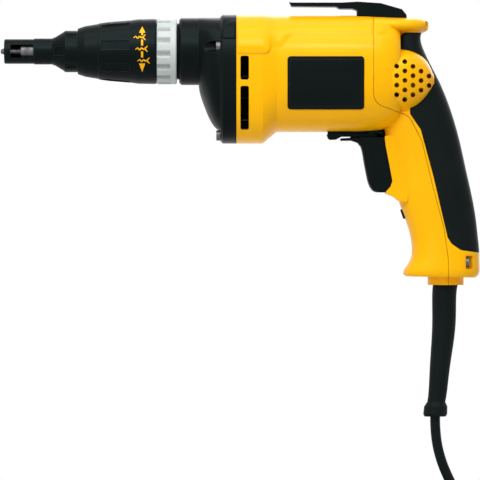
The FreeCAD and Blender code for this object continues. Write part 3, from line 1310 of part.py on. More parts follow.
def trigger_spring():
    start = trigger_rear - STEM_POCKET_DEPTH + FIT
    return helix(Vector(start, 0, stem_z), ALONG, UP, switch_front - FIT - start, TRIGGER_SPRING_RADIUS,
                 TRIGGER_SPRING_WIRE, TRIGGER_SPRING_TURNS)


def switch_body():
    body = block(switch_front, switch_rear, -SWITCH_WIDTH / 2, SWITCH_WIDTH / 2, switch_bottom, switch_top)
    upright = [edge for edge in body.Edges if edge.BoundBox.ZLength > SWITCH_HEIGHT / 2]
    body = body.makeChamfer(SWITCH_BEVEL, upright)
    depth = STEM_REACH + TRIGGER_TRAVEL + SWITCH_CLEARANCE
    return body.cut(rod(switch_front - OVERRUN, switch_front + depth, STEM_RADIUS + FIT, z=stem_z))


def reverse_lever():
    top = -LEVER_DROP
    bottom = top - LEVER_THICK
    tip = LEVER_PIVOT_X - LEVER_REACH
    tail = LEVER_PIVOT_X + LEVER_TAIL
    arm = block(tip + BEAK_LENGTH / 2, tail, -LEVER_HALF, LEVER_HALF, bottom, top)
    beak = slab(placed(BEAK_SHARES, tip, top, BEAK_LENGTH, BEAK_HEIGHT), BEAK_ROUND, -BEAK_HALF, BEAK_HALF)
    end = post(bottom, top, LEVER_HALF, tail)
    return joined([arm, beak, end]).cut(post(bottom - OVERRUN, top + OVERRUN, LEVER_PIN + FIT, LEVER_PIVOT_X))


def lock_button():
    half_y = LOCK_WIDTH / 2
    half_z = LOCK_LENGTH / 2
    knob = block(-LOCK_PROUD, LOCK_DEPTH, -half_y, half_y, -half_z, half_z)
    edge_y = half_y + LOCK_FLANGE_EDGE
    edge_z = half_z + LOCK_FLANGE_EDGE
    flange = block(LOCK_DEPTH - LOCK_FLANGE, LOCK_DEPTH, -edge_y, edge_y, -edge_z, edge_z)
    return on_handle_front(joined([knob, flange]))


def lock_spring():
    top = Vector(LOCK_DEPTH - LOCK_FLANGE / 2, 0, -LOCK_LENGTH / 2 - LOCK_FLANGE_EDGE - FIT)
    return on_handle_front(helix(top, -UP, ALONG, LOCK_SPRING_LENGTH - 2 * FIT, LOCK_SPRING_RADIUS,
                                 LOCK_SPRING_WIRE, LOCK_SPRING_TURNS))


# Belt hook

def belt_hook():
    points = placed(HOOK_SHARES, HOOK_X, HOOK_RISE, HOOK_LENGTH, -HOOK_HEIGHT)
    hook = slab(points, HOOK_ROUND, -HOOK_HALF, HOOK_HALF).cut([body_form(-FIT), cap_form(-FIT)])
    holes = []
    for x in hook_screw_places():
        holes.append(post(HOOK_SCREW_SEAT, HOOK_RISE + OVERRUN, HOOK_SCREW_HEAD + FIT, x))
        holes.append(post(HOOK_RISE - HOOK_HEIGHT - OVERRUN, HOOK_RISE, HOOK_SCREW_RADIUS + FIT, x))
    return hook.cut(holes)


def belt_hook_screws():
    one = screw(HOOK_SCREW_HEAD, HOOK_SCREW_HEAD_HEIGHT, HOOK_SCREW_RADIUS, HOOK_SCREW_LENGTH)
    return Part.Compound([screw_at(one, Vector(x, 0, HOOK_SCREW_SEAT), -UP) for x in hook_screw_places()])


# Cord guard, clamp and leads

def boot_circles(shares, radius_of):
    return circles([(BOOT_X + lean * BOOT_LENGTH, -BOOT_DROP - station * BOOT_LENGTH, radius_of(radius))
                    for station, lean, radius in shares])


def cord_core(radius):
    """Cord inside the guard and the foot, or the bore for it."""
    curve = loft(boot_circles(BOOT_SHARES, lambda share: radius))
    end = loft(boot_circles(BOOT_BULB_SHARES, lambda share: radius), ruled=True)
    return curve.fuse([end, post(-BOOT_DROP, boot_collar_top, radius, BOOT_X)])


def strain_relief():
    taper = loft(boot_circles(BOOT_SHARES, lambda share: share * BOOT_RADIUS))
    bulb = loft(boot_circles(BOOT_BULB_SHARES, lambda share: share * BOOT_RADIUS), ruled=True)
    body = taper.fuse([bulb, post(-BOOT_DROP, boot_collar_top, BOOT_RADIUS, BOOT_X),
                       post(floor_z + FIT, boot_collar_top, BOOT_RADIUS + BOOT_COLLAR, BOOT_X)])
    return body.cut(cord_core(CORD / 2 + FIT))


def inner_lead():
    points = [(BOOT_X, 0, boot_collar_top), (BOOT_X, 0, -LEAD_BENDS[0]), (LEAD_X, 0, -LEAD_BENDS[1]),
              (LEAD_X, 0, switch_bottom)]
    return cord_core(CORD / 2).fuse(tube(route_edges(points), CORD / 2))


def motor_leads():
    points = [(switch_front + x, y, switch_top + z) for x, y, z in MOTOR_LEAD_ROUTE]
    points += [(rear_wall_front + run, PASSAGE_SPREAD, motor_z) for run in (MOTOR_LEAD_RUN, 0)]
    return Part.Compound(mirrored(tube(route_edges(points), LEAD_RADIUS)))


def cord_clamp():
    top = CLAMP_HEIGHT - CLAMP_DROP
    body = block(BOOT_X - CLAMP_LENGTH / 2, BOOT_X + CLAMP_LENGTH / 2, -CLAMP_WIDTH / 2, CLAMP_WIDTH / 2,
                 -CLAMP_DROP, top)
    low = -CLAMP_DROP - OVERRUN
    high = top + OVERRUN
    holes = mirrored(post(low, high, CLAMP_SCREW_RADIUS + FIT, BOOT_X, CLAMP_SCREW_SPREAD))
    return body.cut(holes + [post(low, high, CORD / 2 + FIT, BOOT_X)])


def cord_clamp_screws():
    one = screw(CLAMP_SCREW_HEAD, CLAMP_SCREW_HEAD_HEIGHT, CLAMP_SCREW_RADIUS, CLAMP_SCREW_LENGTH)
    places = [Vector(BOOT_X, side * CLAMP_SCREW_SPREAD, CLAMP_HEIGHT - CLAMP_DROP) for side in (-1, 1)]
    return Part.Compound([screw_at(one, place, -UP) for place in places])


# Free cord, its coil and the plug

boot_end_x = BOOT_X + BOOT_BULB_SHARES[-1][1] * BOOT_LENGTH
cord_points = [(boot_end_x + x, y, boot_end + z) for x, y, z in CORD_ROUTE]
coil_start = Vector(*cord_points[-1])
coil_way = (coil_start - Vector(*cord_points[-2])).normalize()
layer_turns = COIL_TURNS / COIL_LAYERS
coil_outer = COIL_MEAN + COIL_PITCH * layer_turns / 2
coil_inner = COIL_MEAN - COIL_PITCH * layer_turns / 2
first_turn = coil_start + coil_way * CORD
spiral_slip = math.atan2(COIL_PITCH, 2 * math.pi * coil_outer)
first_angle = math.atan2(coil_way.y, coil_way.x) - math.pi / 2 - spiral_slip
coil_centre = first_turn - Vector(math.cos(first_angle), math.sin(first_angle), 0) * coil_outer


def coil_point(turn):
    """Point of the coil's middle line, after a number of turns."""
    layer = min(int(turn / layer_turns), COIL_LAYERS - 1)
    reversal = round(turn / layer_turns)
    inside = turn - layer * layer_turns
    depth = inside if layer % 2 == 0 else layer_turns - inside
    past = turn - reversal * layer_turns
    drop = layer
    if 0 < reversal < COIL_LAYERS:
        if abs(past) < COIL_SMOOTH:
            rounding = (COIL_SMOOTH - abs(past)) ** 2 / (2 * COIL_SMOOTH)
            depth += rounding if reversal % 2 == 0 else -rounding
        step = min(max(past / COIL_CLIMB + 1 / 2, 0), 1)
        drop = reversal - 1 + step * step * (3 - 2 * step)
    radius = coil_outer - COIL_PITCH * depth
    angle = first_angle + 2 * math.pi * turn
    return coil_centre + Vector(radius * math.cos(angle), radius * math.sin(angle), -COIL_PITCH * drop)


def coil_way_at(turn):
    step = COIL_SMOOTH / 1000
    return (coil_point(turn + step) - coil_point(turn - step)).normalize()


coil_steps = math.ceil(4 * COIL_TURNS)
coil_turns = [COIL_TURNS * k / coil_steps for k in range(coil_steps + 1)]
coil_points = [coil_point(turn) for turn in coil_turns]
coil_ways = [coil_way] + [coil_way_at(turn) for turn in coil_turns[1:-1]]
last_flat = coil_points[-1] - coil_point(COIL_TURNS - COIL_SMOOTH / 1000)
coil_ways.append(Vector(last_flat.x, last_flat.y, 0).normalize())
tail_start = coil_points[-1] + coil_ways[-1] * CORD


def cord_coil():
    edges = [Part.LineSegment(coil_start, first_turn).toShape()]
    edges += wound(coil_points, coil_ways)
    edges.append(Part.LineSegment(coil_points[-1], tail_start).toShape())
    per_turn = 48
    count = int(COIL_TURNS * per_turn)
    line = [coil_point(k / per_turn) for k in range(count + 1)]
    gap = min((line[k] - line[j]).Length
              for k in range(count + 1) for j in range(k + per_turn // 2, count + 1))
    print("coil least gap", round(gap - CORD, 3), "length", round(sum(edge.Length for edge in edges)))
    return tube(edges, CORD / 2)


tail_rise = (PLUG_THICK - CORD) / 2
tail_end = tail_start + coil_ways[-1] * (3 * TAIL_RUN) + UP * tail_rise


def power_cord():
    return tube(route_edges(cord_points), CORD / 2)


def cord_tail():
    along = coil_ways[-1] * TAIL_RUN
    points = [tail_start, tail_start + along, tail_start + along * 2 + UP * tail_rise, tail_end]
    return tube(route_edges(points), CORD / 2)


def at_tail_end(shape):
    """Place a shape made along X so that it goes on from the cord's end."""
    shape.Placement = FreeCAD.Placement(tail_end, FreeCAD.Rotation(ALONG, coil_ways[-1]))
    return shape


def blades(clearance):
    front = PLUG_GUARD_LENGTH + PLUG_LENGTH - BLADE_SUNK
    half = BLADE_THICK / 2 + clearance
    blade = block(front, front + BLADE_SUNK + BLADE_LENGTH, BLADE_SPREAD / 2 - half, BLADE_SPREAD / 2 + half,
                  -BLADE_WIDTH / 2 - clearance, BLADE_WIDTH / 2 + clearance)
    return mirrored(blade)


def plug_body():
    guard = Part.makeCone(PLUG_GUARD_RADIUS, PLUG_GUARD_RADIUS + PLUG_GUARD_FLARE,
                          PLUG_GUARD_LENGTH + OVERRUN, Vector(0, 0, 0), ALONG)
    sections = [upright_oval(PLUG_GUARD_LENGTH + station * PLUG_LENGTH, share * PLUG_THICK / 2,
                             -share * PLUG_THICK / 2, share * PLUG_WIDTH / 2, FAN_POWER)
                for station, share in PLUG_SHARES]
    return at_tail_end(guard.fuse(loft(sections, ruled=True)).cut(blades(FIT)))


def plug_blades():
    return at_tail_end(Part.Compound(blades(0)))


def cord_tie():
    top = CORD / 2 + FIT
    bottom = -COIL_PITCH * (COIL_LAYERS - 1) - CORD / 2 - FIT
    near = coil_inner - CORD / 2 - TIE_ROOM
    far = coil_outer + CORD / 2 + FIT
    half = TIE_WIDTH / 2
    band = block(near - TIE_THICK, far + TIE_THICK, -half, half, bottom - TIE_THICK, top + TIE_THICK)
    band = band.cut(block(near, far, -half - OVERRUN, half + OVERRUN, bottom, top))
    band.rotate(Vector(0, 0, 0), UP, TIE_ANGLE)
    band.translate(coil_centre)
    return band


# All pieces, moved to the middle of the grip

shell = whole_shell()
pieces = {
    "motor_housing": motor_housing(shell),
    "handle_cover": handle_cover(shell),
    "rear_grip": rear_grip(),
    "name_plates": name_plates(),
    "handle_screws": handle_screws(),
    "gear_case": gear_case(),
    "gear_case_screws": case_screws(),
    "bearing_plate": bearing_plate(),
    "front_bearing": bearing(-PLATE_THICK),
    "rear_bearing": bearing(rear_wall_front),
    "gear_bush": ring(-PLATE_THICK, 0, GEAR_BUSH_RADIUS, GEAR_HUB + FIT),
    "drive_gear": drive_gear(),
    "drive_pinion": drive_pinion(),
    "output_spindle": output_spindle(),
    "clutch_spring": clutch_spring(),
    "thrust_washer": ring(washer_front, clutch_front - FIT, CLUTCH_RADIUS, SPINDLE_RADIUS + GAP),
    "spindle_bush": ring(web_front + BUSH_INSET, web_front + BUSH_INSET + BUSH_LENGTH, NECK_BORE - FIT,
                         SPINDLE_RADIUS + FIT),
    "bit_holder": bit_holder(),
    "bit_magnet": rod(bit_rear + FIT, bit_rear + FIT + MAGNET_LENGTH, MAGNET_RADIUS),
    "bit_ring": bit_ring(),
    "driver_bit": driver_bit(),
    "nose_piece": nose_piece(),
    "nose_sleeve": nose_sleeve(),
    "depth_collar": depth_collar(),
    "collar_seal": ring(collar_rear + GAP, case_front - FIT, SEAL_RADIUS, SPIGOT_RADIUS + FIT),
    "armature_shaft": armature_shaft(),
    "armature_core": armature_core(),
    "armature_windings": armature_windings(),
    "commutator": commutator(),
    "cooling_fan": cooling_fan(),
    "air_baffle": air_baffle(),
    "field_core": field_core(),
    "field_coils": field_coils(),
    "brush_holders": brush_holders(),
    "carbon_brushes": carbon_brushes(),
    "brush_springs": brush_springs(),
    "trigger": trigger(),
    "trigger_spring": trigger_spring(),
    "switch_body": switch_body(),
    "reverse_lever": reverse_lever(),
    "lock_button": lock_button(),
    "lock_spring": lock_spring(),
    "belt_hook": belt_hook(),
    "belt_hook_screws": belt_hook_screws(),
    "strain_relief": strain_relief(),
    "cord_clamp": cord_clamp(),
    "cord_clamp_screws": cord_clamp_screws(),
    "inner_lead": inner_lead(),
    "motor_leads": motor_leads(),
    "power_cord": power_cord(),
    "cord_coil": cord_coil(),
    "cord_tail": cord_tail(),
    "cord_tie": cord_tie(),
    "plug_body": plug_body(),
    "plug_blades": plug_blades(),
}

os.makedirs("parts", exist_ok=True)
for name, shape in pieces.items():
    moved = shape.copy()
    moved.translate(Vector(-GRIP_BACK, 0, GRIP_DROP))
    moved.exportStep("parts/" + name + ".step")
    print(name, len(moved.Solids), moved.isValid(), round(moved.Volume))
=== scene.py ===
# %% [markdown]
# # Drywall screwdriver
# The solids of the tool come from the frame, each at its own place, so this lesson has two jobs:
# to give every solid the finish of the real material, and to add the pieces and soft forms that
# a solid can't show, such as a bending cord, printed marks and moulded panels.
# All lengths are in metres. Sizes taken from the tool are written in millimetres times MM.

# %% Load the frame
import json
import math

import bmesh
import bpy
import numpy as np
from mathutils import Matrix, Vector
from mathutils.bvhtree import BVHTree

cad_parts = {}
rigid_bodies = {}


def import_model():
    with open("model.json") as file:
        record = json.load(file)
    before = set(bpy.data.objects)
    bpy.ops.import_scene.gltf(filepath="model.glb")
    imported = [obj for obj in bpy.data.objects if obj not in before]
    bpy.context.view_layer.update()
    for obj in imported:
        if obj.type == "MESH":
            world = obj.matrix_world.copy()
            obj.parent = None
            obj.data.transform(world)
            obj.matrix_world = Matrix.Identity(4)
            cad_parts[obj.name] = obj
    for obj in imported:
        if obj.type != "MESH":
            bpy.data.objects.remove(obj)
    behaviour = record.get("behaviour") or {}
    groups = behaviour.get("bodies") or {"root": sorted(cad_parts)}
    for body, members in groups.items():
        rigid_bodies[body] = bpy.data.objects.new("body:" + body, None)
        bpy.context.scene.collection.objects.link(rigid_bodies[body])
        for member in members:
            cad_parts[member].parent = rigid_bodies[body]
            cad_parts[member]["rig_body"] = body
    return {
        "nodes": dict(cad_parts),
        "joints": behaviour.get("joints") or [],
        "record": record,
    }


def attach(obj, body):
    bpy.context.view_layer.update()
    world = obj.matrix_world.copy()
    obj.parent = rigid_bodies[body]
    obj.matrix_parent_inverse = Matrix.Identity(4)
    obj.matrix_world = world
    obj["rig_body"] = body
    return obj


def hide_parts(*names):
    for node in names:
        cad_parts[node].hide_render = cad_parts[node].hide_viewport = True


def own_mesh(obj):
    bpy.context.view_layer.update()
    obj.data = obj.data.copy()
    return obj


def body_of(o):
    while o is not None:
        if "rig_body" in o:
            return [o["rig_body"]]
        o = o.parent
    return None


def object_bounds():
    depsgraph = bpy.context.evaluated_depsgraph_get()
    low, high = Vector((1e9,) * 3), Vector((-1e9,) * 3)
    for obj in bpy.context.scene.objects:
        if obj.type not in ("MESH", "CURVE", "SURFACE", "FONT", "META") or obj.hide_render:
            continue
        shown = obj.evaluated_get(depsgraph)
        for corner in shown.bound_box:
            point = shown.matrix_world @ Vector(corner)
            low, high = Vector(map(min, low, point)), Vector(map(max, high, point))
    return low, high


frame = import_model()
nodes = frame["nodes"]
cad_low, cad_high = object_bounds()
MM = 0.001
SIDES = ((-1, "right"), (1, "left"))


def add_object(name, data):
    """New object of the scene from a mesh, a curve, a light or a camera."""
    thing = bpy.data.objects.new(name, data)
    bpy.context.collection.objects.link(thing)
    return thing


def smooth(share):
    """0 below 0, 1 above 1 and a smooth step between them."""
    share = min(max(share, 0), 1)
    return share * share * (3 - 2 * share)


def between(span, share):
    return span[0] + (span[1] - span[0]) * share


def passed(span, place):
    """Smooth step from the start of a span to its end."""
    return smooth((place - span[0]) / (span[1] - span[0]))


print("solids:", len(nodes), "box:", [round(v, 3) for v in cad_high - cad_low])

# %% [markdown]
# ## Camera
# The picture was taken square from the side and from far away, because the round parts show no
# perspective. A long lens four metres off does the same. One picture dot is 0.65 mm of the tool,
# and dot (236.5, 51.5) is where the spindle's axis meets the joint of case and housing.

# %% Camera
DOT = 0.65 * MM
JOINT_DOT = (236.5, 51.5)
JOINT = Vector((-127, 0, 84)) * MM
PICTURE = 480
DISTANCE = 4.0
SENSOR = 36


def tool(x, y, z):
    """A point from millimetres behind, beside and above the joint on the spindle's axis."""
    return JOINT + Vector((x, y, z)) * MM


def dot(across, down):
    """The point of the middle plane that a picture dot shows."""
    return JOINT + Vector(((across - JOINT_DOT[0]) * DOT, 0, (JOINT_DOT[1] - down) * DOT))


lens = bpy.data.cameras.new("picture_camera")
lens.sensor_width = SENSOR
lens.lens = SENSOR * DISTANCE / (PICTURE * DOT)
camera = add_object("picture_camera", lens)
camera.location = dot(PICTURE / 2, PICTURE / 2) + Vector((0, -DISTANCE, 0))
camera.rotation_euler = (math.pi / 2, 0, 0)
bpy.context.scene.camera = camera
print("lens:", round(lens.lens), "mm")

# %% [markdown]
# ## Mains cord
# The cord leaves the guard straight down, swings aside under its own weight and ends in a tied
# coil on the floor with the plug beside it. A NURBS spline takes the points of the route as its
# control points, so it rounds every corner by itself. The coil's turns are more points of the
# same spline, and a round bevel gives it its thickness. A tube swept along runs and arcs would
# look like bent wire.

# %% Mains cord
CORD = 6.5
GUARD_END = (129.0744, 0, -237.2)
ROUTE = [(0, 0, 0), (0, 0, -11.4), (3.4, 0, -28.0), (10.7, 4.4, -44.4), (17.4, 14.1, -55.3),
         (20.4, 26.5, -62.3), (19.7, 39.9, -65.7), (15.3, 53.0, -65.7)]
COIL_MEAN = 38.4
COIL_TURNS = 9.2
COIL_LAYERS = 4
COIL_PITCH = 7.2
COIL_CLIMB = 0.5
COIL_SMOOTH = 0.25
COIL_NUDGE = COIL_SMOOTH / 1000
POINTS_PER_TURN = 16
TAIL_RUN = 15.0
PLUG_THICK = 16.0
UP = Vector((0, 0, 1))

route = [Vector(GUARD_END) + Vector(point) for point in ROUTE]
coil_way = (route[-1] - route[-2]).normalized()
layer_turns = COIL_TURNS / COIL_LAYERS
coil_outer = COIL_MEAN + COIL_PITCH * layer_turns / 2
first_turn = route[-1] + coil_way * CORD
slip = math.atan2(COIL_PITCH, 2 * math.pi * coil_outer)
first_angle = math.atan2(coil_way.y, coil_way.x) - math.pi / 2 - slip
coil_centre = first_turn - Vector((math.cos(first_angle), math.sin(first_angle), 0)) * coil_outer


def coil_point(turn):
    """Point of the coil's middle line: it winds in on one layer and out on the next below."""
    layer = min(int(turn / layer_turns), COIL_LAYERS - 1)
    reversal = round(turn / layer_turns)
    inside = turn - layer * layer_turns
    depth = inside if layer % 2 == 0 else layer_turns - inside
    past = turn - reversal * layer_turns
    drop = layer
    if 0 < reversal < COIL_LAYERS:
        if abs(past) < COIL_SMOOTH:
            rounding = (COIL_SMOOTH - abs(past)) ** 2 / (2 * COIL_SMOOTH)
            depth += rounding if reversal % 2 == 0 else -rounding
        drop = reversal - 1 + smooth(past / COIL_CLIMB + 1 / 2)
    radius = coil_outer - COIL_PITCH * depth
    angle = first_angle + 2 * math.pi * turn
    return coil_centre + Vector((radius * math.cos(angle), radius * math.sin(angle),
                                 -COIL_PITCH * drop))


coil_steps = math.ceil(COIL_TURNS * POINTS_PER_TURN)
coil = [coil_point(COIL_TURNS * k / coil_steps) for k in range(coil_steps + 1)]
last_way = coil[-1] - coil_point(COIL_TURNS - COIL_NUDGE)
last_way = Vector((last_way.x, last_way.y, 0)).normalized()
tail_start = coil[-1] + last_way * CORD
tail_rise = UP * (PLUG_THICK - CORD) / 2
tail = [tail_start, tail_start + last_way * TAIL_RUN,
        tail_start + last_way * 2 * TAIL_RUN + tail_rise,
        tail_start + last_way * 3 * TAIL_RUN + tail_rise]
line = [tool(*point) for point in route + coil + tail]

cord_curve = bpy.data.curves.new("mains_cord", "CURVE")
cord_curve.dimensions = "3D"
spline = cord_curve.splines.new("NURBS")
spline.points.add(len(line) - 1)
for point, place in zip(spline.points, line):
    point.co = (*place, 1)
    point.radius = CORD / 2 * MM
spline.order_u = 3
spline.use_endpoint_u = True
spline.resolution_u = 6
cord_curve.bevel_depth = 1
cord_curve.bevel_resolution = 5
cord_curve.use_fill_caps = True
mains_cord = add_object("mains_cord", cord_curve)
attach(mains_cord, "housing")
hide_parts("power_cord", "cord_coil", "cord_tail")
print("cord points:", len(line))

# %% [markdown]
# ## Shader maths
# A finish is a sum of masks, grains and colours. Written as nodes one by one it is hard to read,
# so a small class wraps a node's socket: a plus sign between two of them adds a Math node.
# Another small class holds a material and has one method, add, for every other kind of node.

# %% Shader maths
class Value:
    """A socket that can be added, subtracted, multiplied and compared."""

    def __init__(self, finish, socket):
        self.finish = finish
        self.socket = socket

    def math(self, operation, *terms):
        return self.finish.add("ShaderNodeMath", {"operation": operation}, dict(enumerate(terms)))

    def __add__(self, other):
        return self.math("ADD", self, other)

    def __sub__(self, other):
        return self.math("SUBTRACT", self, other)

    def __rsub__(self, other):
        return self.math("SUBTRACT", other, self)

    def __mul__(self, other):
        return self.math("MULTIPLY", self, other)

    def __pow__(self, other):
        return self.math("POWER", self, other)

    def size(self):
        return self.math("ABSOLUTE", self)

    def least(self, other):
        return self.math("MINIMUM", self, other)

    def rise(self, low, high):
        """0 below low, 1 above high and a smooth step between them."""
        settings = {"interpolation_type": "SMOOTHSTEP"}
        return self.finish.add("ShaderNodeMapRange", settings, {0: self, 1: low, 2: high})

    __radd__ = __add__
    __rmul__ = __mul__


class Finish:
    """A material with its shader. add makes one node of any kind."""

    def __init__(self, name, **constants):
        self.material = bpy.data.materials.new(name)
        self.material.use_nodes = True
        self.tree = self.material.node_tree
        self.shader = self.tree.nodes["Principled BSDF"]
        self.set(**constants)

    def add(self, kind, settings=None, inputs=None, output=0):
        node = self.tree.nodes.new(kind)
        for name, value in (settings or {}).items():
            setattr(node, name, value)
        for key, value in (inputs or {}).items():
            self.feed(node.inputs[key], value)
        return Value(self, node.outputs[output])

    def feed(self, socket, value):
        if isinstance(value, Value):
            self.tree.links.new(value.socket, socket)
        else:
            socket.default_value = value

    def set(self, **sockets):
        """Feed the shader, with Base_Color for the socket Base Color."""
        for name, value in sockets.items():
            self.feed(self.shader.inputs[name.replace("_", " ")], value)

    def vector(self, operation, inputs, output=0):
        return self.add("ShaderNodeVectorMath", {"operation": operation}, inputs, output)

    def place(self):
        return self.add("ShaderNodeTexCoord", output="Object")

    def axes(self):
        """The place on the tool as three numbers in millimetres from the joint."""
        moved = self.vector("SUBTRACT", {0: self.place(), 1: JOINT})
        scaled = self.vector("SCALE", {0: moved, "Scale": 1 / MM})
        node = self.add("ShaderNodeSeparateXYZ", None, {0: scaled}).socket.node
        return [Value(self, socket) for socket in node.outputs]

    def noise(self, grain, detail=2.0, stretch=(1, 1, 1)):
        """Noise from 0 to 1 with a grain in millimetres."""
        scaled = self.vector("MULTIPLY", {0: self.place(), 1: stretch})
        return self.add("ShaderNodeTexNoise", None,
                        {"Vector": scaled, "Scale": 1 / (grain * MM), "Detail": detail})

    def pebbles(self, grain):
        return self.add("ShaderNodeTexVoronoi", {"feature": "SMOOTH_F1"},
                        {"Vector": self.place(), "Scale": 1 / (grain * MM), "Smoothness": 0.6})

    def mix(self, factor, first, second):
        """Colour between two colours."""
        node = self.add("ShaderNodeMix", {"data_type": "RGBA"}).socket.node
        for index, value in ((0, factor), (6, first), (7, second)):
            self.feed(node.inputs[index], value)
        return Value(self, node.outputs[2])

    def soft_edges(self, radius):
        """Normal that rounds the edges, and how near an edge is, from 0 to 1."""
        rounded = self.add("ShaderNodeBevel", {"samples": 6}, {"Radius": radius * MM})
        flat = self.add("ShaderNodeNewGeometry", output="Normal")
        along = self.vector("DOT_PRODUCT", {0: rounded, 1: flat}, "Value")
        return rounded, (1 - along).rise(0.01, 0.2)

    def bump(self, height, depth, normal=None):
        """Height of 0 to 1 that stands so many millimetres deep."""
        inputs = {"Height": height, "Distance": depth * MM, "Strength": 1.0}
        if normal:
            inputs["Normal"] = normal
        self.set(Normal=self.add("ShaderNodeBump", None, inputs))


print("shader helpers ready")

# %% [markdown]
# ## Moulded plastics
# The shells are injection moulded: a polished tool leaves a gloss with faint flow clouds, and an
# etched one a fine grain. Real edges are never sharp, so the shader rounds them by a few tenths
# of a millimetre. The same comparison of normals finds the edges: the yellow shell turns a little
# lighter there, and the black shells get a painted highlight along every edge.

# %% Moulded plastics
AMBER_SHEEN = (1.0, 0.82, 0.3, 1)
YELLOWS = ((1.0, 0.46, 0.0, 1), (1.0, 0.52, 0.0, 1))
LIGHT_EDGE_YELLOW = (1.0, 0.62, 0.02, 1)
TEAL_SHEEN = (0.7, 1.0, 1.0, 1)
BLACKS = ((0.0008, 0.0014, 0.0016, 1), (0.002, 0.0028, 0.003, 1))
# Colour of the painted highlight along the edges of the black shells
PAINTED_EDGE_HIGHLIGHT = (0.045, 0.06, 0.062, 1)


def yellow_shell():
    finish = Finish("yellow_shell", IOR=1.48, Specular_IOR_Level=0.3, Specular_Tint=AMBER_SHEEN,
                    Coat_Roughness=0.12, Coat_Tint=AMBER_SHEEN)
    rounded, edge = finish.soft_edges(0.7)
    clouds = finish.noise(40, 3)
    grain = finish.noise(0.55, 2)
    rubbed = finish.noise(9, 4)
    colour = finish.mix(clouds, *YELLOWS)
    # The edges are a little lighter yellow
    colour = finish.mix(edge * 0.25, colour, LIGHT_EDGE_YELLOW)
    finish.set(Base_Color=colour, Roughness=0.26 + 0.12 * rubbed + 0.05 * grain,
               Coat_Weight=0.15 * clouds)
    finish.bump(grain * 0.6 + clouds * 0.4, 0.02, rounded)
    return finish.material


def black_shell(name, grain_size, depth, rough):
    finish = Finish(name, IOR=1.45, Specular_IOR_Level=0.1, Specular_Tint=TEAL_SHEEN)
    rounded, edge = finish.soft_edges(0.4)
    grain = finish.noise(grain_size, 2)
    rubbed = finish.noise(12, 4)
    colour = finish.mix(rubbed, *BLACKS)
    # Painted highlight: every edge is lighter, standing in for the light that edges catch
    colour = finish.mix(edge * 0.7, colour, PAINTED_EDGE_HIGHLIGHT)
    finish.set(Base_Color=colour, Roughness=rough + 0.14 * rubbed)
    finish.bump(grain, depth, rounded)
    return finish.material


finishes = {
    "yellow_plastic": yellow_shell(),
    "black_plastic": black_shell("etched_black", grain_size=0.5, depth=0.03, rough=0.3),
    "inner_plastic": black_shell("inner_moulding", grain_size=0.8, depth=0.02, rough=0.42),
}
print("plastics:", [material.name for material in finishes.values()])

# %% [markdown]
# ## Rubber
# The grip is moulded over the handle in a soft rubber. It is duller than the plastic, and its
# surface is a fine pebble. Where the hand rubs, it is smoother and a little greyer.

# %% Rubber
RUBBERS = ((0.002, 0.0026, 0.003, 1), (0.005, 0.006, 0.0065, 1))
RUBBED_RUBBER = (0.014, 0.016, 0.017, 1)


def rubber(name, grain, depth, rough):
    finish = Finish(name, IOR=1.5, Specular_IOR_Level=0.1, Specular_Tint=TEAL_SHEEN)
    rounded, edge = finish.soft_edges(0.5)
    pebble = finish.pebbles(grain)
    worn = finish.noise(22, 5)
    colour = finish.mix(worn, *RUBBERS)
    colour = finish.mix(edge * 0.3, colour, RUBBED_RUBBER)
    finish.set(Base_Color=colour, Roughness=rough - 0.15 * worn)
    finish.bump(pebble, depth, rounded)
    return finish.material


finishes["rubber_black"] = rubber("grip_rubber", grain=0.9, depth=0.06, rough=0.68)
finishes["cord_rubber"] = rubber("cord_rubber", grain=0.5, depth=0.02, rough=0.52)
print("finishes with rubber:", len(finishes))

# %% [markdown]
# ## Depth collar
# The collar is moulded in a pale plastic without a coating. Between its flutes the colour turns
# darker and greyer with depth, a painted shade mottled like board dust: the distance from the
# spindle's axis says how deep a point lies.

# %% Depth collar
COLLAR_RADIUS = 21.3
FLUTE_DEPTHS = (0.15, 0.95)
PALES = ((0.56, 0.6, 0.58, 1), (0.42, 0.47, 0.45, 1))
# Colour of the painted shade in the flutes, mottled like dust
FLUTE_SHADE_AND_DUST = (0.2, 0.25, 0.24, 1)
RUBBED_PALE = (0.7, 0.74, 0.72, 1)


def pale_collar():
    finish = Finish("pale_collar", IOR=1.46)
    rounded, edge = finish.soft_edges(0.3)
    _, across, above = finish.axes()
    radius = (across * across + above * above) ** 0.5
    sunk = (COLLAR_RADIUS - radius).rise(*FLUTE_DEPTHS)
    dust = finish.noise(2.5, 5)
    colour = finish.mix(dust * 0.35, *PALES)
    # Painted shade in the flutes, darker with depth and mottled by the dust noise
    colour = finish.mix(sunk * (0.5 + 0.4 * dust), colour, FLUTE_SHADE_AND_DUST)
    colour = finish.mix(edge * 0.4, colour, RUBBED_PALE)
    finish.set(Base_Color=colour, Roughness=0.36 + 0.2 * dust)
    finish.bump(finish.noise(0.6, 2), 0.02, rounded)
    return finish.material


finishes["collar_pale"] = pale_collar()
print("collar radius:", COLLAR_RADIUS)

# %% [markdown]
# ## Side plates
# The plates are a smooth black film on a thin backing. They stay bare. A shallow border pressed
# round the edge and faint wiping marks keep them from looking like a hole in the shell.

# %% Side plates
PLATE_MIDDLE = (57.65, -21.2)
PLATE_HALF = (24.65, 17.0)
BORDER = 1.6
BORDER_EDGE = (0.1, 0.35)
WIPED = (0.15, 1, 1)
FILMS = ((0.001, 0.0014, 0.0017, 1), (0.0025, 0.0032, 0.0036, 1))
PRESSED_FILM = (0.012, 0.014, 0.015, 1)


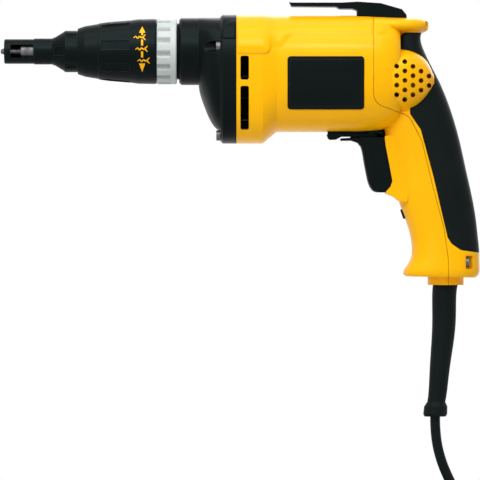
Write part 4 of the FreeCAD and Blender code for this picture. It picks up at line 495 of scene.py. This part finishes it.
def plate_film():
    finish = Finish("plate_film", IOR=1.5, Specular_IOR_Level=0.1, Specular_Tint=TEAL_SHEEN)
    rounded, edge = finish.soft_edges(0.25)
    along, _, above = finish.axes()
    inside = (PLATE_HALF[0] - (along - PLATE_MIDDLE[0]).size()).least(
        PLATE_HALF[1] - (above - PLATE_MIDDLE[1]).size())
    border = 1 - (inside - BORDER).size().rise(*BORDER_EDGE)
    wiped = finish.noise(5, 3, WIPED)
    colour = finish.mix(wiped, *FILMS)
    colour = finish.mix(border * 0.5 + edge * 0.4, colour, PRESSED_FILM)
    finish.set(Base_Color=colour, Roughness=0.2 + 0.16 * wiped)
    finish.bump(1 - border, 0.08, rounded)
    return finish.material


finishes["plate_black"] = plate_film()
print("plate:", [2 * side for side in PLATE_HALF], "mm")

# %% [markdown]
# ## Metals
# Turned steel carries fine rings round its axis, sheet stacks show their layers, and copper wire
# its lacquer. One function makes them all: a base colour, a stained second colour, and a noise
# that is stretched across the lines of the machining.

# %% Metals
def metal(name, clean, stained, rough, grain, stretch, metallic=1.0):
    finish = Finish(name, Metallic=metallic)
    rounded, edge = finish.soft_edges(0.15)
    lines = finish.noise(grain, 3, stretch)
    stain = finish.noise(4, 4)
    colour = finish.mix(stain.rise(0.45, 0.7), (*clean, 1), (*stained, 1))
    colour = finish.mix(edge * 0.4, colour, [*(min(1, 1.3 * part) for part in clean), 1])
    finish.set(Base_Color=colour, Roughness=rough + 0.18 * lines + 0.1 * stain)
    finish.bump(lines, 0.012, rounded)
    return finish.material


TURNED = (1, 0.1, 0.1)
STACKED = (1, 0.02, 0.02)
WOUND = (1, 0.05, 0.05)
PLAIN = (1, 1, 1)
# Each has a clean and a stained colour, a roughness, a grain in millimetres and its stretch
finishes.update({
    "steel": metal("turned_steel", (0.56, 0.57, 0.58), (0.42, 0.42, 0.42), 0.22, 0.3, TURNED),
    "dark_steel": metal("blackened_steel", (0.13, 0.13, 0.14), (0.08, 0.075, 0.07), 0.34, 0.4, TURNED),
    "laminations": metal("sheet_stack", (0.3, 0.3, 0.31), (0.2, 0.17, 0.15), 0.4, 0.5, STACKED),
    "copper": metal("lacquered_copper", (0.62, 0.22, 0.08), (0.42, 0.14, 0.05), 0.28, 0.45, WOUND),
    "brass": metal("plain_brass", (0.66, 0.46, 0.17), (0.5, 0.33, 0.12), 0.26, 0.35, PLAIN),
    "bronze": metal("sintered_bronze", (0.45, 0.28, 0.12), (0.3, 0.18, 0.08), 0.48, 0.25, PLAIN),
    "carbon": metal("pressed_carbon", (0.03, 0.03, 0.03), (0.02, 0.02, 0.02), 0.55, 0.3, PLAIN, 0.0),
})
print("finishes:", len(finishes))

# %% [markdown]
# ## Finish on each solid
# The record names a slot for every solid, and each slot has its finish here. Only the bit holder
# leaves its slot: it is blackened like the bit, so that little shines in the window of the nose.

# %% Finish on each solid
slot_of = {part["node"]: part["material_slot"] for part in frame["record"]["subparts"]}
for name, node in nodes.items():
    node.data.materials.clear()
    node.data.materials.append(finishes["dark_steel" if name == "bit_holder" else slot_of[name]])
mains_cord.data.materials.append(finishes["cord_rubber"])
print("dressed:", len(nodes))

# %% [markdown]
# ## Relief of the shells
# The mould of the real housing steps up round its front and along its top, and the side panel
# with the plate lies lower. Such a step could be carved into the solid, but it is hardly more than
# a millimetre high and fades out softly. Here a sheet is laid over the solid like a cloth instead:
# rays from the side find the surface under a grid, the depths are smoothed, and the sheet stands
# off by a height that a formula gives. Where the height is negative the sheet dives under the
# surface, so it has no edge that shows.

# %% Relief of the shells
GRID = 0.6
DIVE = 0.35
SMOOTHING = 10
FAR = 100.0


def inside_box(x, z, low, high, corner):
    """How far a place lies inside a box with round corners, negative outside."""
    over = [abs(place - (a + b) / 2) - (b - a) / 2 + corner
            for place, a, b in zip((x, z), low, high)]
    return corner - math.hypot(max(over[0], 0), max(over[1], 0)) - min(max(over), 0)


def surface_of(name):
    """Search tree over the surface of a solid."""
    mesh = nodes[name].data
    corners = [nodes[name].matrix_world @ vertex.co for vertex in mesh.vertices]
    return BVHTree.FromPolygons(corners, [face.vertices[:] for face in mesh.polygons])


def new_piece(name, corners, faces, body, slot):
    """Smooth mesh with the finish of a slot, riding on a body."""
    mesh = bpy.data.meshes.new(name)
    mesh.from_pydata(corners, [], faces)
    mesh.validate()
    mesh.shade_smooth()
    mesh.materials.append(finishes[slot])
    piece = add_object(name, mesh)
    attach(piece, body)
    return piece


def laid_sheet(name, solid, low, high, side, height, body, slot):
    """Sheet over one side of a solid, between two corners given along and above in millimetres."""
    tree = surface_of(solid)
    counts = [round((b - a) / GRID) + 1 for a, b in zip(low, high)]
    along, above = np.meshgrid(np.linspace(low[0], high[0], counts[0]),
                               np.linspace(low[1], high[1], counts[1]), indexing="ij")
    toward = Vector((0, -side, 0))
    depth = np.empty(along.shape)
    lift = np.empty(along.shape)
    for spot in np.ndindex(along.shape):
        x, z = float(along[spot]), float(above[spot])
        hit = tree.ray_cast(tool(x, side * FAR, z), toward)[0]
        depth[spot] = hit.y if hit else 0
        lift[spot] = height(x, z)
    for _ in range(SMOOTHING):
        depth[1:-1, 1:-1] = (depth[1:-1, 1:-1] + depth[:-2, 1:-1] + depth[2:, 1:-1]
                             + depth[1:-1, :-2] + depth[1:-1, 2:]) / 5
    lift[[0, -1], :] = -DIVE
    lift[:, [0, -1]] = -DIVE
    outward = np.minimum(side * depth + lift * MM, -cad_low.y)
    corners = [tool(x, 0, z) + Vector((0, side * out, 0))
               for x, z, out in zip(along.flat, above.flat, outward.flat)]
    numbers = np.arange(len(corners)).reshape(along.shape)
    faces = []
    for i, j in np.ndindex(counts[0] - 1, counts[1] - 1):
        if lift[i:i + 2, j:j + 2].max() > -DIVE / 2:
            ring = [numbers[i, j], numbers[i + 1, j], numbers[i + 1, j + 1], numbers[i, j + 1]]
            faces.append([int(number) for number in (ring if side < 0 else ring[::-1])])
    return new_piece(name, corners, faces, body, slot)


RISE = 1.4
FRONT_LEVEL = ((-10, -2.4), (22, 60), 4)
SIDE_PANEL = ((31, -60), (200, 11), 8)
LEVEL_EDGE = 1.8
PANEL_EDGE = 7
BLEND_DOWN = 14
TOP_FADE = (12, 21)
COVER_FADE = (92, 102)


def housing_height(x, z):
    """High round the front and along the top, low in the side panel."""
    front = smooth(inside_box(x, z, *FRONT_LEVEL) / LEVEL_EDGE + 0.5)
    panel = smooth(inside_box(x, z, *SIDE_PANEL) / PANEL_EDGE + 0.5)
    band = (1 - panel) * smooth((z - FRONT_LEVEL[0][1]) / BLEND_DOWN)
    level = max(front, band) * (1 - passed(TOP_FADE, z))
    return (RISE + DIVE) * level - DIVE


def cover_height(x, z):
    """The same steps, running out over the cover behind the seam."""
    return (housing_height(x, z) + DIVE) * (1 - passed(COVER_FADE, x)) - DIVE


PAD = ((-9.4, -10), (10, 19.6), 8)
PAD_RISE = 0.9
PAD_FOOT = 7.2
PAD_EDGE = 1.2


def case_height(x, z):
    """A pad with one round corner on the rim of the gear case."""
    pad = smooth(inside_box(x, z, *PAD) / PAD_EDGE + 0.5) * smooth((z - PAD_FOOT) / PAD_EDGE + 0.5)
    return (PAD_RISE + DIVE) * pad - DIVE


SEAM = 88.6
SEAM_WIDTH = 0.5
STEP_HEIGHTS = (-3.2, 22)
STEP_ENDS = (0.3, 103)
PAD_SHEET = ((-10.2, 5), (-0.4, 21))
housing_sheet = [(STEP_ENDS[0], STEP_HEIGHTS[0]), (SEAM - SEAM_WIDTH, STEP_HEIGHTS[1])]
cover_sheet = [(SEAM + SEAM_WIDTH, STEP_HEIGHTS[0]), (STEP_ENDS[1], STEP_HEIGHTS[1])]
for side, word in SIDES:
    laid_sheet("housing_relief_" + word, "motor_housing", *housing_sheet, side,
               housing_height, "housing", "yellow_plastic")
    laid_sheet("cover_relief_" + word, "handle_cover", *cover_sheet, side,
               cover_height, "housing", "yellow_plastic")
    laid_sheet("case_relief_" + word, "gear_case", *PAD_SHEET, side,
               case_height, "housing", "black_plastic")
print("relief:", RISE, "mm")

# %% [markdown]
# ## Depth marks
# A double arrow and three small screws are printed on the sleeve: turn the collar one way and the
# screw sinks deeper. Printed ink has no thickness to speak of, but a ribbon that follows the sleeve
# keeps a crisp edge at any distance, where a picture would blur. Every mark is a ribbon: an arrow
# head is one that narrows to a point. The places are picture dots.

# %% Depth marks
ARROW_DOT = 142.6
ARROW_HEADS = [((27.4, 0.2), (33.7, 6.3)), ((72.5, 0.2), (64.2, 6.3))]
ARROW_SHAFTS = [(33.5, 36.0), (40.6, 46.6), (52.4, 58.4)]
SHAFT_WIDTH = 2.0
SCREW_DOTS = [(134.0, 38.2), (136.0, 49.8), (138.0, 61.4)]
SCREW_WAVE = [(0, 0.7), (2.2, -1.1), (4.0, 1.2), (6.0, -0.8), (8.0, 0.4), (9.4, 0)]
SCREW_FORK = [(9.0, 0), (10.4, 1.2), (11.9, 2.9)]
SCREW_WIDTHS = (0.7, 1.6)
INK = 0.07
RIBBON_STEP = 0.8
RIBBON_ACROSS = (-1, -0.33, 0.33, 1)


def ribbon(points, widths):
    """Strip along picture dots with a width at each end, cut short enough to follow the sleeve."""
    way = [Vector(point) for point in points]
    total = sum((b - a).length for a, b in zip(way, way[1:]))
    strip, gone = [], 0
    for a, b in zip(way, way[1:]):
        cuts = max(2, round((b - a).length / RIBBON_STEP))
        across = Vector((a.y - b.y, b.x - a.x)).normalized()
        for k in range(cuts + 1):
            middle = a.lerp(b, k / cuts)
            share = (gone + (b - a).length * k / cuts) / total
            half = between(widths, share) / 2
            strip.append([middle + across * half * outward for outward in RIBBON_ACROSS])
        gone += (b - a).length
    return strip


strips = [ribbon([(ARROW_DOT, tip[0]), (ARROW_DOT, base[0])], (tip[1], base[1]))
          for tip, base in ARROW_HEADS]
strips += [ribbon([(ARROW_DOT, top), (ARROW_DOT, bottom)], (SHAFT_WIDTH, SHAFT_WIDTH))
           for top, bottom in ARROW_SHAFTS]
for across, down in SCREW_DOTS:
    strips.append(ribbon([(across + x, down + y) for x, y in SCREW_WAVE], SCREW_WIDTHS))
    for turn in (-1, 1):
        fork = [(across + x, down + turn * y) for x, y in SCREW_FORK]
        strips.append(ribbon(fork, SCREW_WIDTHS[::-1]))

sleeve = surface_of("nose_sleeve")
for side, word in SIDES:
    corners, faces = [], []
    for strip in strips:
        for row, cells in enumerate(strip):
            for column, cell in enumerate(cells):
                place = dot(*cell) + Vector((0, side * FAR * MM, 0))
                hit = sleeve.ray_cast(place, Vector((0, -side, 0)))[0]
                out = Vector((0, hit.y, hit.z - JOINT.z)).normalized()
                corners.append(hit + out * INK * MM)
                if row and column:
                    last = len(corners) - 1
                    faces.append([last, last - 1, last - 1 - len(cells), last - len(cells)])
    new_piece("depth_marks_" + word, corners, faces, "nose_sleeve", "yellow_plastic")
print("marks:", len(strips))

# %% [markdown]
# ## Behind the openings
# A real tool is dark behind its windows and slots: a shield lines the back of the nose, fine
# screens keep dust out of the vents, a rib stands under the fan, and a skirt and a bent lip seal
# the slit in which the reversing lever swings. Without them the white backdrop would shine through
# from the far side.

# %% Behind the openings
SHIELD = 5.95
SHIELD_SPAN = (-149.0, -130.0)
SHIELD_TURN = math.radians(105)
SHIELD_GRID = (8, 24)
SHIELD_THICK = 0.3
SCREEN_MIDDLE = (112.0, -19.0)
SCREEN_HALF = (14.5, 13.5)
SCREEN_DEPTH = (5.0, 7.5)
SCREEN_GRID = (8, 33)
SCREEN_THICK = 0.6
RIB_ALONG = (2.4, 9.2)
RIB_ABOVE = (-56.9, -44.6)
RIB_GRID = (8, 6)
RIB_THICK = 2.0
LIP_ENDS = (67.0, 74.0)
LIP_BEND = (94.3, -54.1)
LIP_RADIUS = 1.7
LIP_SIDES = (3.2, 6.5)
LIP_TILT = 0.7
LIP_BEND_STEPS = 12
LIP_COLUMNS = 4
SKIRT_LINE = (59.2, 93.9, 94.2, 96.4)
SKIRT_FEET = (-53.0, -53.0, -56.0, -56.0)
SKIRT_TOP = -50.6
SKIRT_SIDE = 7.0
SKIRT_COLUMNS = 3
SEAL_THICK = 0.5


def grid_faces(rows, columns):
    return [[i * columns + j, i * columns + j + 1, (i + 1) * columns + j + 1, (i + 1) * columns + j]
            for i in range(rows - 1) for j in range(columns - 1)]


def sheet_piece(name, place, rows, columns, thick, body, slot):
    """Thin wall whose corners a formula gives from two shares."""
    corners = [tool(*place(i / (rows - 1), j / (columns - 1)))
               for i in range(rows) for j in range(columns)]
    piece = new_piece(name, corners, grid_faces(rows, columns), body, slot)
    wall = piece.modifiers.new("wall", "SOLIDIFY")
    wall.thickness = thick * MM
    wall.offset = 0
    return piece


def shield_place(length, turn):
    """Part of a tube inside the nose."""
    angle = (2 * turn - 1) * SHIELD_TURN
    return between(SHIELD_SPAN, length), SHIELD * math.cos(angle), SHIELD * math.sin(angle)


def screen_place(side):
    """Shallow oval dome behind the vents of one side."""
    def place(radius, turn):
        angle = 2 * math.pi * turn
        dome = between(SCREEN_DEPTH, 1 - radius * radius)
        return (SCREEN_MIDDLE[0] + SCREEN_HALF[0] * radius * math.cos(angle), side * dome,
                SCREEN_MIDDLE[1] + SCREEN_HALF[1] * radius * math.sin(angle))
    return place


def rib_place(along, above):
    """Upright wall in the middle plane."""
    return between(RIB_ALONG, along), 0, between(RIB_ABOVE, above)


bend = [math.pi * step / LIP_BEND_STEPS for step in range(LIP_BEND_STEPS + 1)]
lip_line = [(LIP_BEND[0] + LIP_RADIUS * math.sin(turn), LIP_BEND[1] + LIP_RADIUS * math.cos(turn))
            for turn in bend]
lip_line = [(LIP_ENDS[0], lip_line[0][1]), *lip_line, (LIP_ENDS[1], lip_line[-1][1])]


def lip_place(side):
    """Bent strip beside the lever, tilted where it lies under the housing."""
    def place(length, width):
        x, z = lip_line[round(length * (len(lip_line) - 1))]
        upper = (z - LIP_BEND[1] + LIP_RADIUS) / (2 * LIP_RADIUS)
        return x, side * between(LIP_SIDES, width), z + LIP_TILT * upper * (width - 0.5)
    return place


def skirt_place(side):
    """Upright strip under the housing, deeper behind the lever's end."""
    def place(length, rise):
        spot = round(length * (len(SKIRT_LINE) - 1))
        return SKIRT_LINE[spot], side * SKIRT_SIDE, between((SKIRT_FEET[spot], SKIRT_TOP), rise)
    return place


sheet_piece("window_shield", shield_place, *SHIELD_GRID, SHIELD_THICK, "nose_piece", "black_plastic")
sheet_piece("fan_rib", rib_place, *RIB_GRID, RIB_THICK, "housing", "inner_plastic")
for side, word in SIDES:
    sheet_piece("dust_screen_" + word, screen_place(side), *SCREEN_GRID, SCREEN_THICK,
                "housing", "yellow_plastic")
    sheet_piece("lever_lip_" + word, lip_place(side), len(lip_line), LIP_COLUMNS, SEAL_THICK,
                "housing", "black_plastic")
    sheet_piece("lever_skirt_" + word, skirt_place(side), len(SKIRT_LINE), SKIRT_COLUMNS, SEAL_THICK,
                "housing", "black_plastic")
print("points of the lip:", len(lip_line))

# %% [markdown]
# ## Springs
# Three springs get shorter when the bit, the trigger or the lock button is pushed: their turns close
# up toward the end that stays put. They could be built anew as helixes of a changing length, but a
# copy of each solid on the same body keeps the form and follows any pose, and the solid itself is
# hidden. The joints say which spring is theirs.

# %% Springs
for joint in frame["joints"]:
    for soft in joint.get("deforming_nodes", []):
        name = soft["node"]
        spring = add_object("squeezed_" + name, nodes[name].data.copy())
        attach(spring, body_of(nodes[name])[0])
        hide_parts(name)
        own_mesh(spring)

# %% [markdown]
# ## Strap round the coil
# A woven strap with hooks and loops holds the coil. It runs once round the bundle and its end lies
# over its own start. In a section of the bundle the strap is a squarish oval: a superellipse gives
# that from one exponent, where a rectangle would look like bent tin.

# %% Strap round the coil
STRAP_TURN = math.radians(60)
STRAP_WIDTH = 12.0
STRAP_THICK = 0.9
STRAP_ROOM = 1.0
STRAP_SQUARE = 9
STRAP_LAPS = 1.17
STRAP_LIFT = 0.93
STRAP_LIFT_RUN = 0.12
STRAP_EDGE_RISE = 0.25
STRAP_TIP = 0.03
STRAP_TIP_NARROWING = 0.45
STRAP_GRID = (161, 9)

coil_inner = coil_outer - COIL_PITCH * layer_turns
strap_near = coil_inner - CORD / 2 - STRAP_ROOM
strap_far = coil_outer + CORD / 2
strap_top = CORD / 2
strap_bottom = -COIL_PITCH * (COIL_LAYERS - 1) - CORD / 2
strap_middle = ((strap_near + strap_far) / 2, (strap_top + strap_bottom) / 2)
strap_half = ((strap_far - strap_near) / 2, (strap_top - strap_bottom) / 2)
outward_way = Vector((math.cos(STRAP_TURN), math.sin(STRAP_TURN), 0))
strap_way = Vector((-outward_way.y, outward_way.x, 0))


def squarish(value):
    return math.copysign(abs(value) ** (2 / STRAP_SQUARE), value)


def strap_place(length, width):
    """Once round the bundle from its outer side, and then on over the start."""
    lap = STRAP_LAPS * length
    angle = 2 * math.pi * lap
    spread = 2 * width - 1
    off = STRAP_THICK / 2 + STRAP_THICK * smooth((lap - STRAP_LIFT) / STRAP_LIFT_RUN)
    narrow = 1 - STRAP_TIP_NARROWING * max(0, (length - (1 - STRAP_TIP)) / STRAP_TIP) ** 2
    radius = strap_middle[0] + (strap_half[0] + off) * squarish(math.cos(angle))
    height = strap_middle[1] + (strap_half[1] + off) * squarish(math.sin(angle))
    radius -= STRAP_EDGE_RISE * spread * spread * math.cos(angle)
    aside = strap_way * STRAP_WIDTH / 2 * spread * narrow
    return coil_centre + outward_way * radius + UP * height + aside


strap = sheet_piece("cord_strap", strap_place, *STRAP_GRID, STRAP_THICK, "housing", "black_plastic")
strap.data.materials[0] = rubber("strap_loops", grain=0.7, depth=0.12, rough=0.9)
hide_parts("cord_tie")
print("strap:", round(strap_far - strap_near), "by", round(strap_top - strap_bottom), "mm")

# %% [markdown]
# ## Studio
# A wide soft box overhead, a narrow strip above the lens, a box behind and a weaker one beside the
# camera give long highlights on the black parts, as in the picture. The backdrop is white because
# the world has strength 1 for the camera and for reflections. All other rays see a dimmer world,
# which fills the shadows. A small pale floor lies under the coil and fades out into the backdrop.

# %% Studio
FLOOR_RADIUS = 0.9
FLOOR_SIDES = 96
FLOOR_FADE = (0.15, 0.8)
FLOOR_GAP = 0.5 * MM
PAPERS = ((0.86, 0.86, 0.86, 1), (0.89, 0.89, 0.89, 1))
WHITE = (1, 1, 1, 1)
FILL = 0.32
# Name, way from the middle of the tool, width and height, and power in watts
SOFT_BOXES = [
    ("top_box", (-0.1, -0.5, 1.3), (1.6, 0.9), 13),
    ("camera_box", (-0.7, -1.7, 0.5), (1.2, 1.2), 4.5),
    ("back_box", (0.5, 1.6, 0.7), (1.4, 1.0), 10),
    ("strip_box", (-0.2, -1.1, 0.9), (1.3, 0.14), 10.5),
]

middle = dot(PICTURE / 2, PICTURE / 3)
for name, way, size, power in SOFT_BOXES:
    light = bpy.data.lights.new(name, "AREA")
    light.shape = "RECTANGLE"
    light.size, light.size_y = size
    light.energy = power
    box = add_object(name, light)
    place = middle + Vector(way)
    box.location = place
    box.rotation_euler = (middle - place).to_track_quat("-Z", "Y").to_euler()

world = bpy.data.worlds.new("studio")
world.use_nodes = True
bpy.context.scene.world = world
tree = world.node_tree
path = tree.nodes.new("ShaderNodeLightPath")
seen = path.outputs["Is Camera Ray"]
for name in ("Is Glossy Ray", "Is Transmission Ray"):
    either = tree.nodes.new("ShaderNodeMath")
    either.operation = "MAXIMUM"
    tree.links.new(seen, either.inputs[0])
    tree.links.new(path.outputs[name], either.inputs[1])
    seen = either.outputs[0]
strength = tree.nodes.new("ShaderNodeMapRange")
tree.links.new(seen, strength.inputs[0])
strength.inputs[3].default_value = FILL
strength.inputs[4].default_value = 1.0
background = tree.nodes["Background"]
background.inputs[0].default_value = WHITE
tree.links.new(strength.outputs[0], background.inputs[1])

floor_mesh = bpy.data.meshes.new("studio_floor")
ground = bmesh.new()
bmesh.ops.create_circle(ground, cap_ends=True, segments=FLOOR_SIDES, radius=FLOOR_RADIUS)
ground.to_mesh(floor_mesh)
ground.free()
floor = add_object("studio_floor", floor_mesh)
floor.location = Vector((middle.x, 0, cad_low.z - FLOOR_GAP))
paper = Finish("floor_paper", Roughness=0.9)
from_middle = paper.vector("LENGTH", {0: paper.place()}, "Value")
paper.set(Base_Color=paper.mix(paper.noise(30, 4), *PAPERS), Alpha=1 - from_middle.rise(*FLOOR_FADE))
floor_mesh.materials.append(paper.material)
bpy.context.scene.view_settings.view_transform = "Standard"
print("floor at", round(floor.location.z, 4))
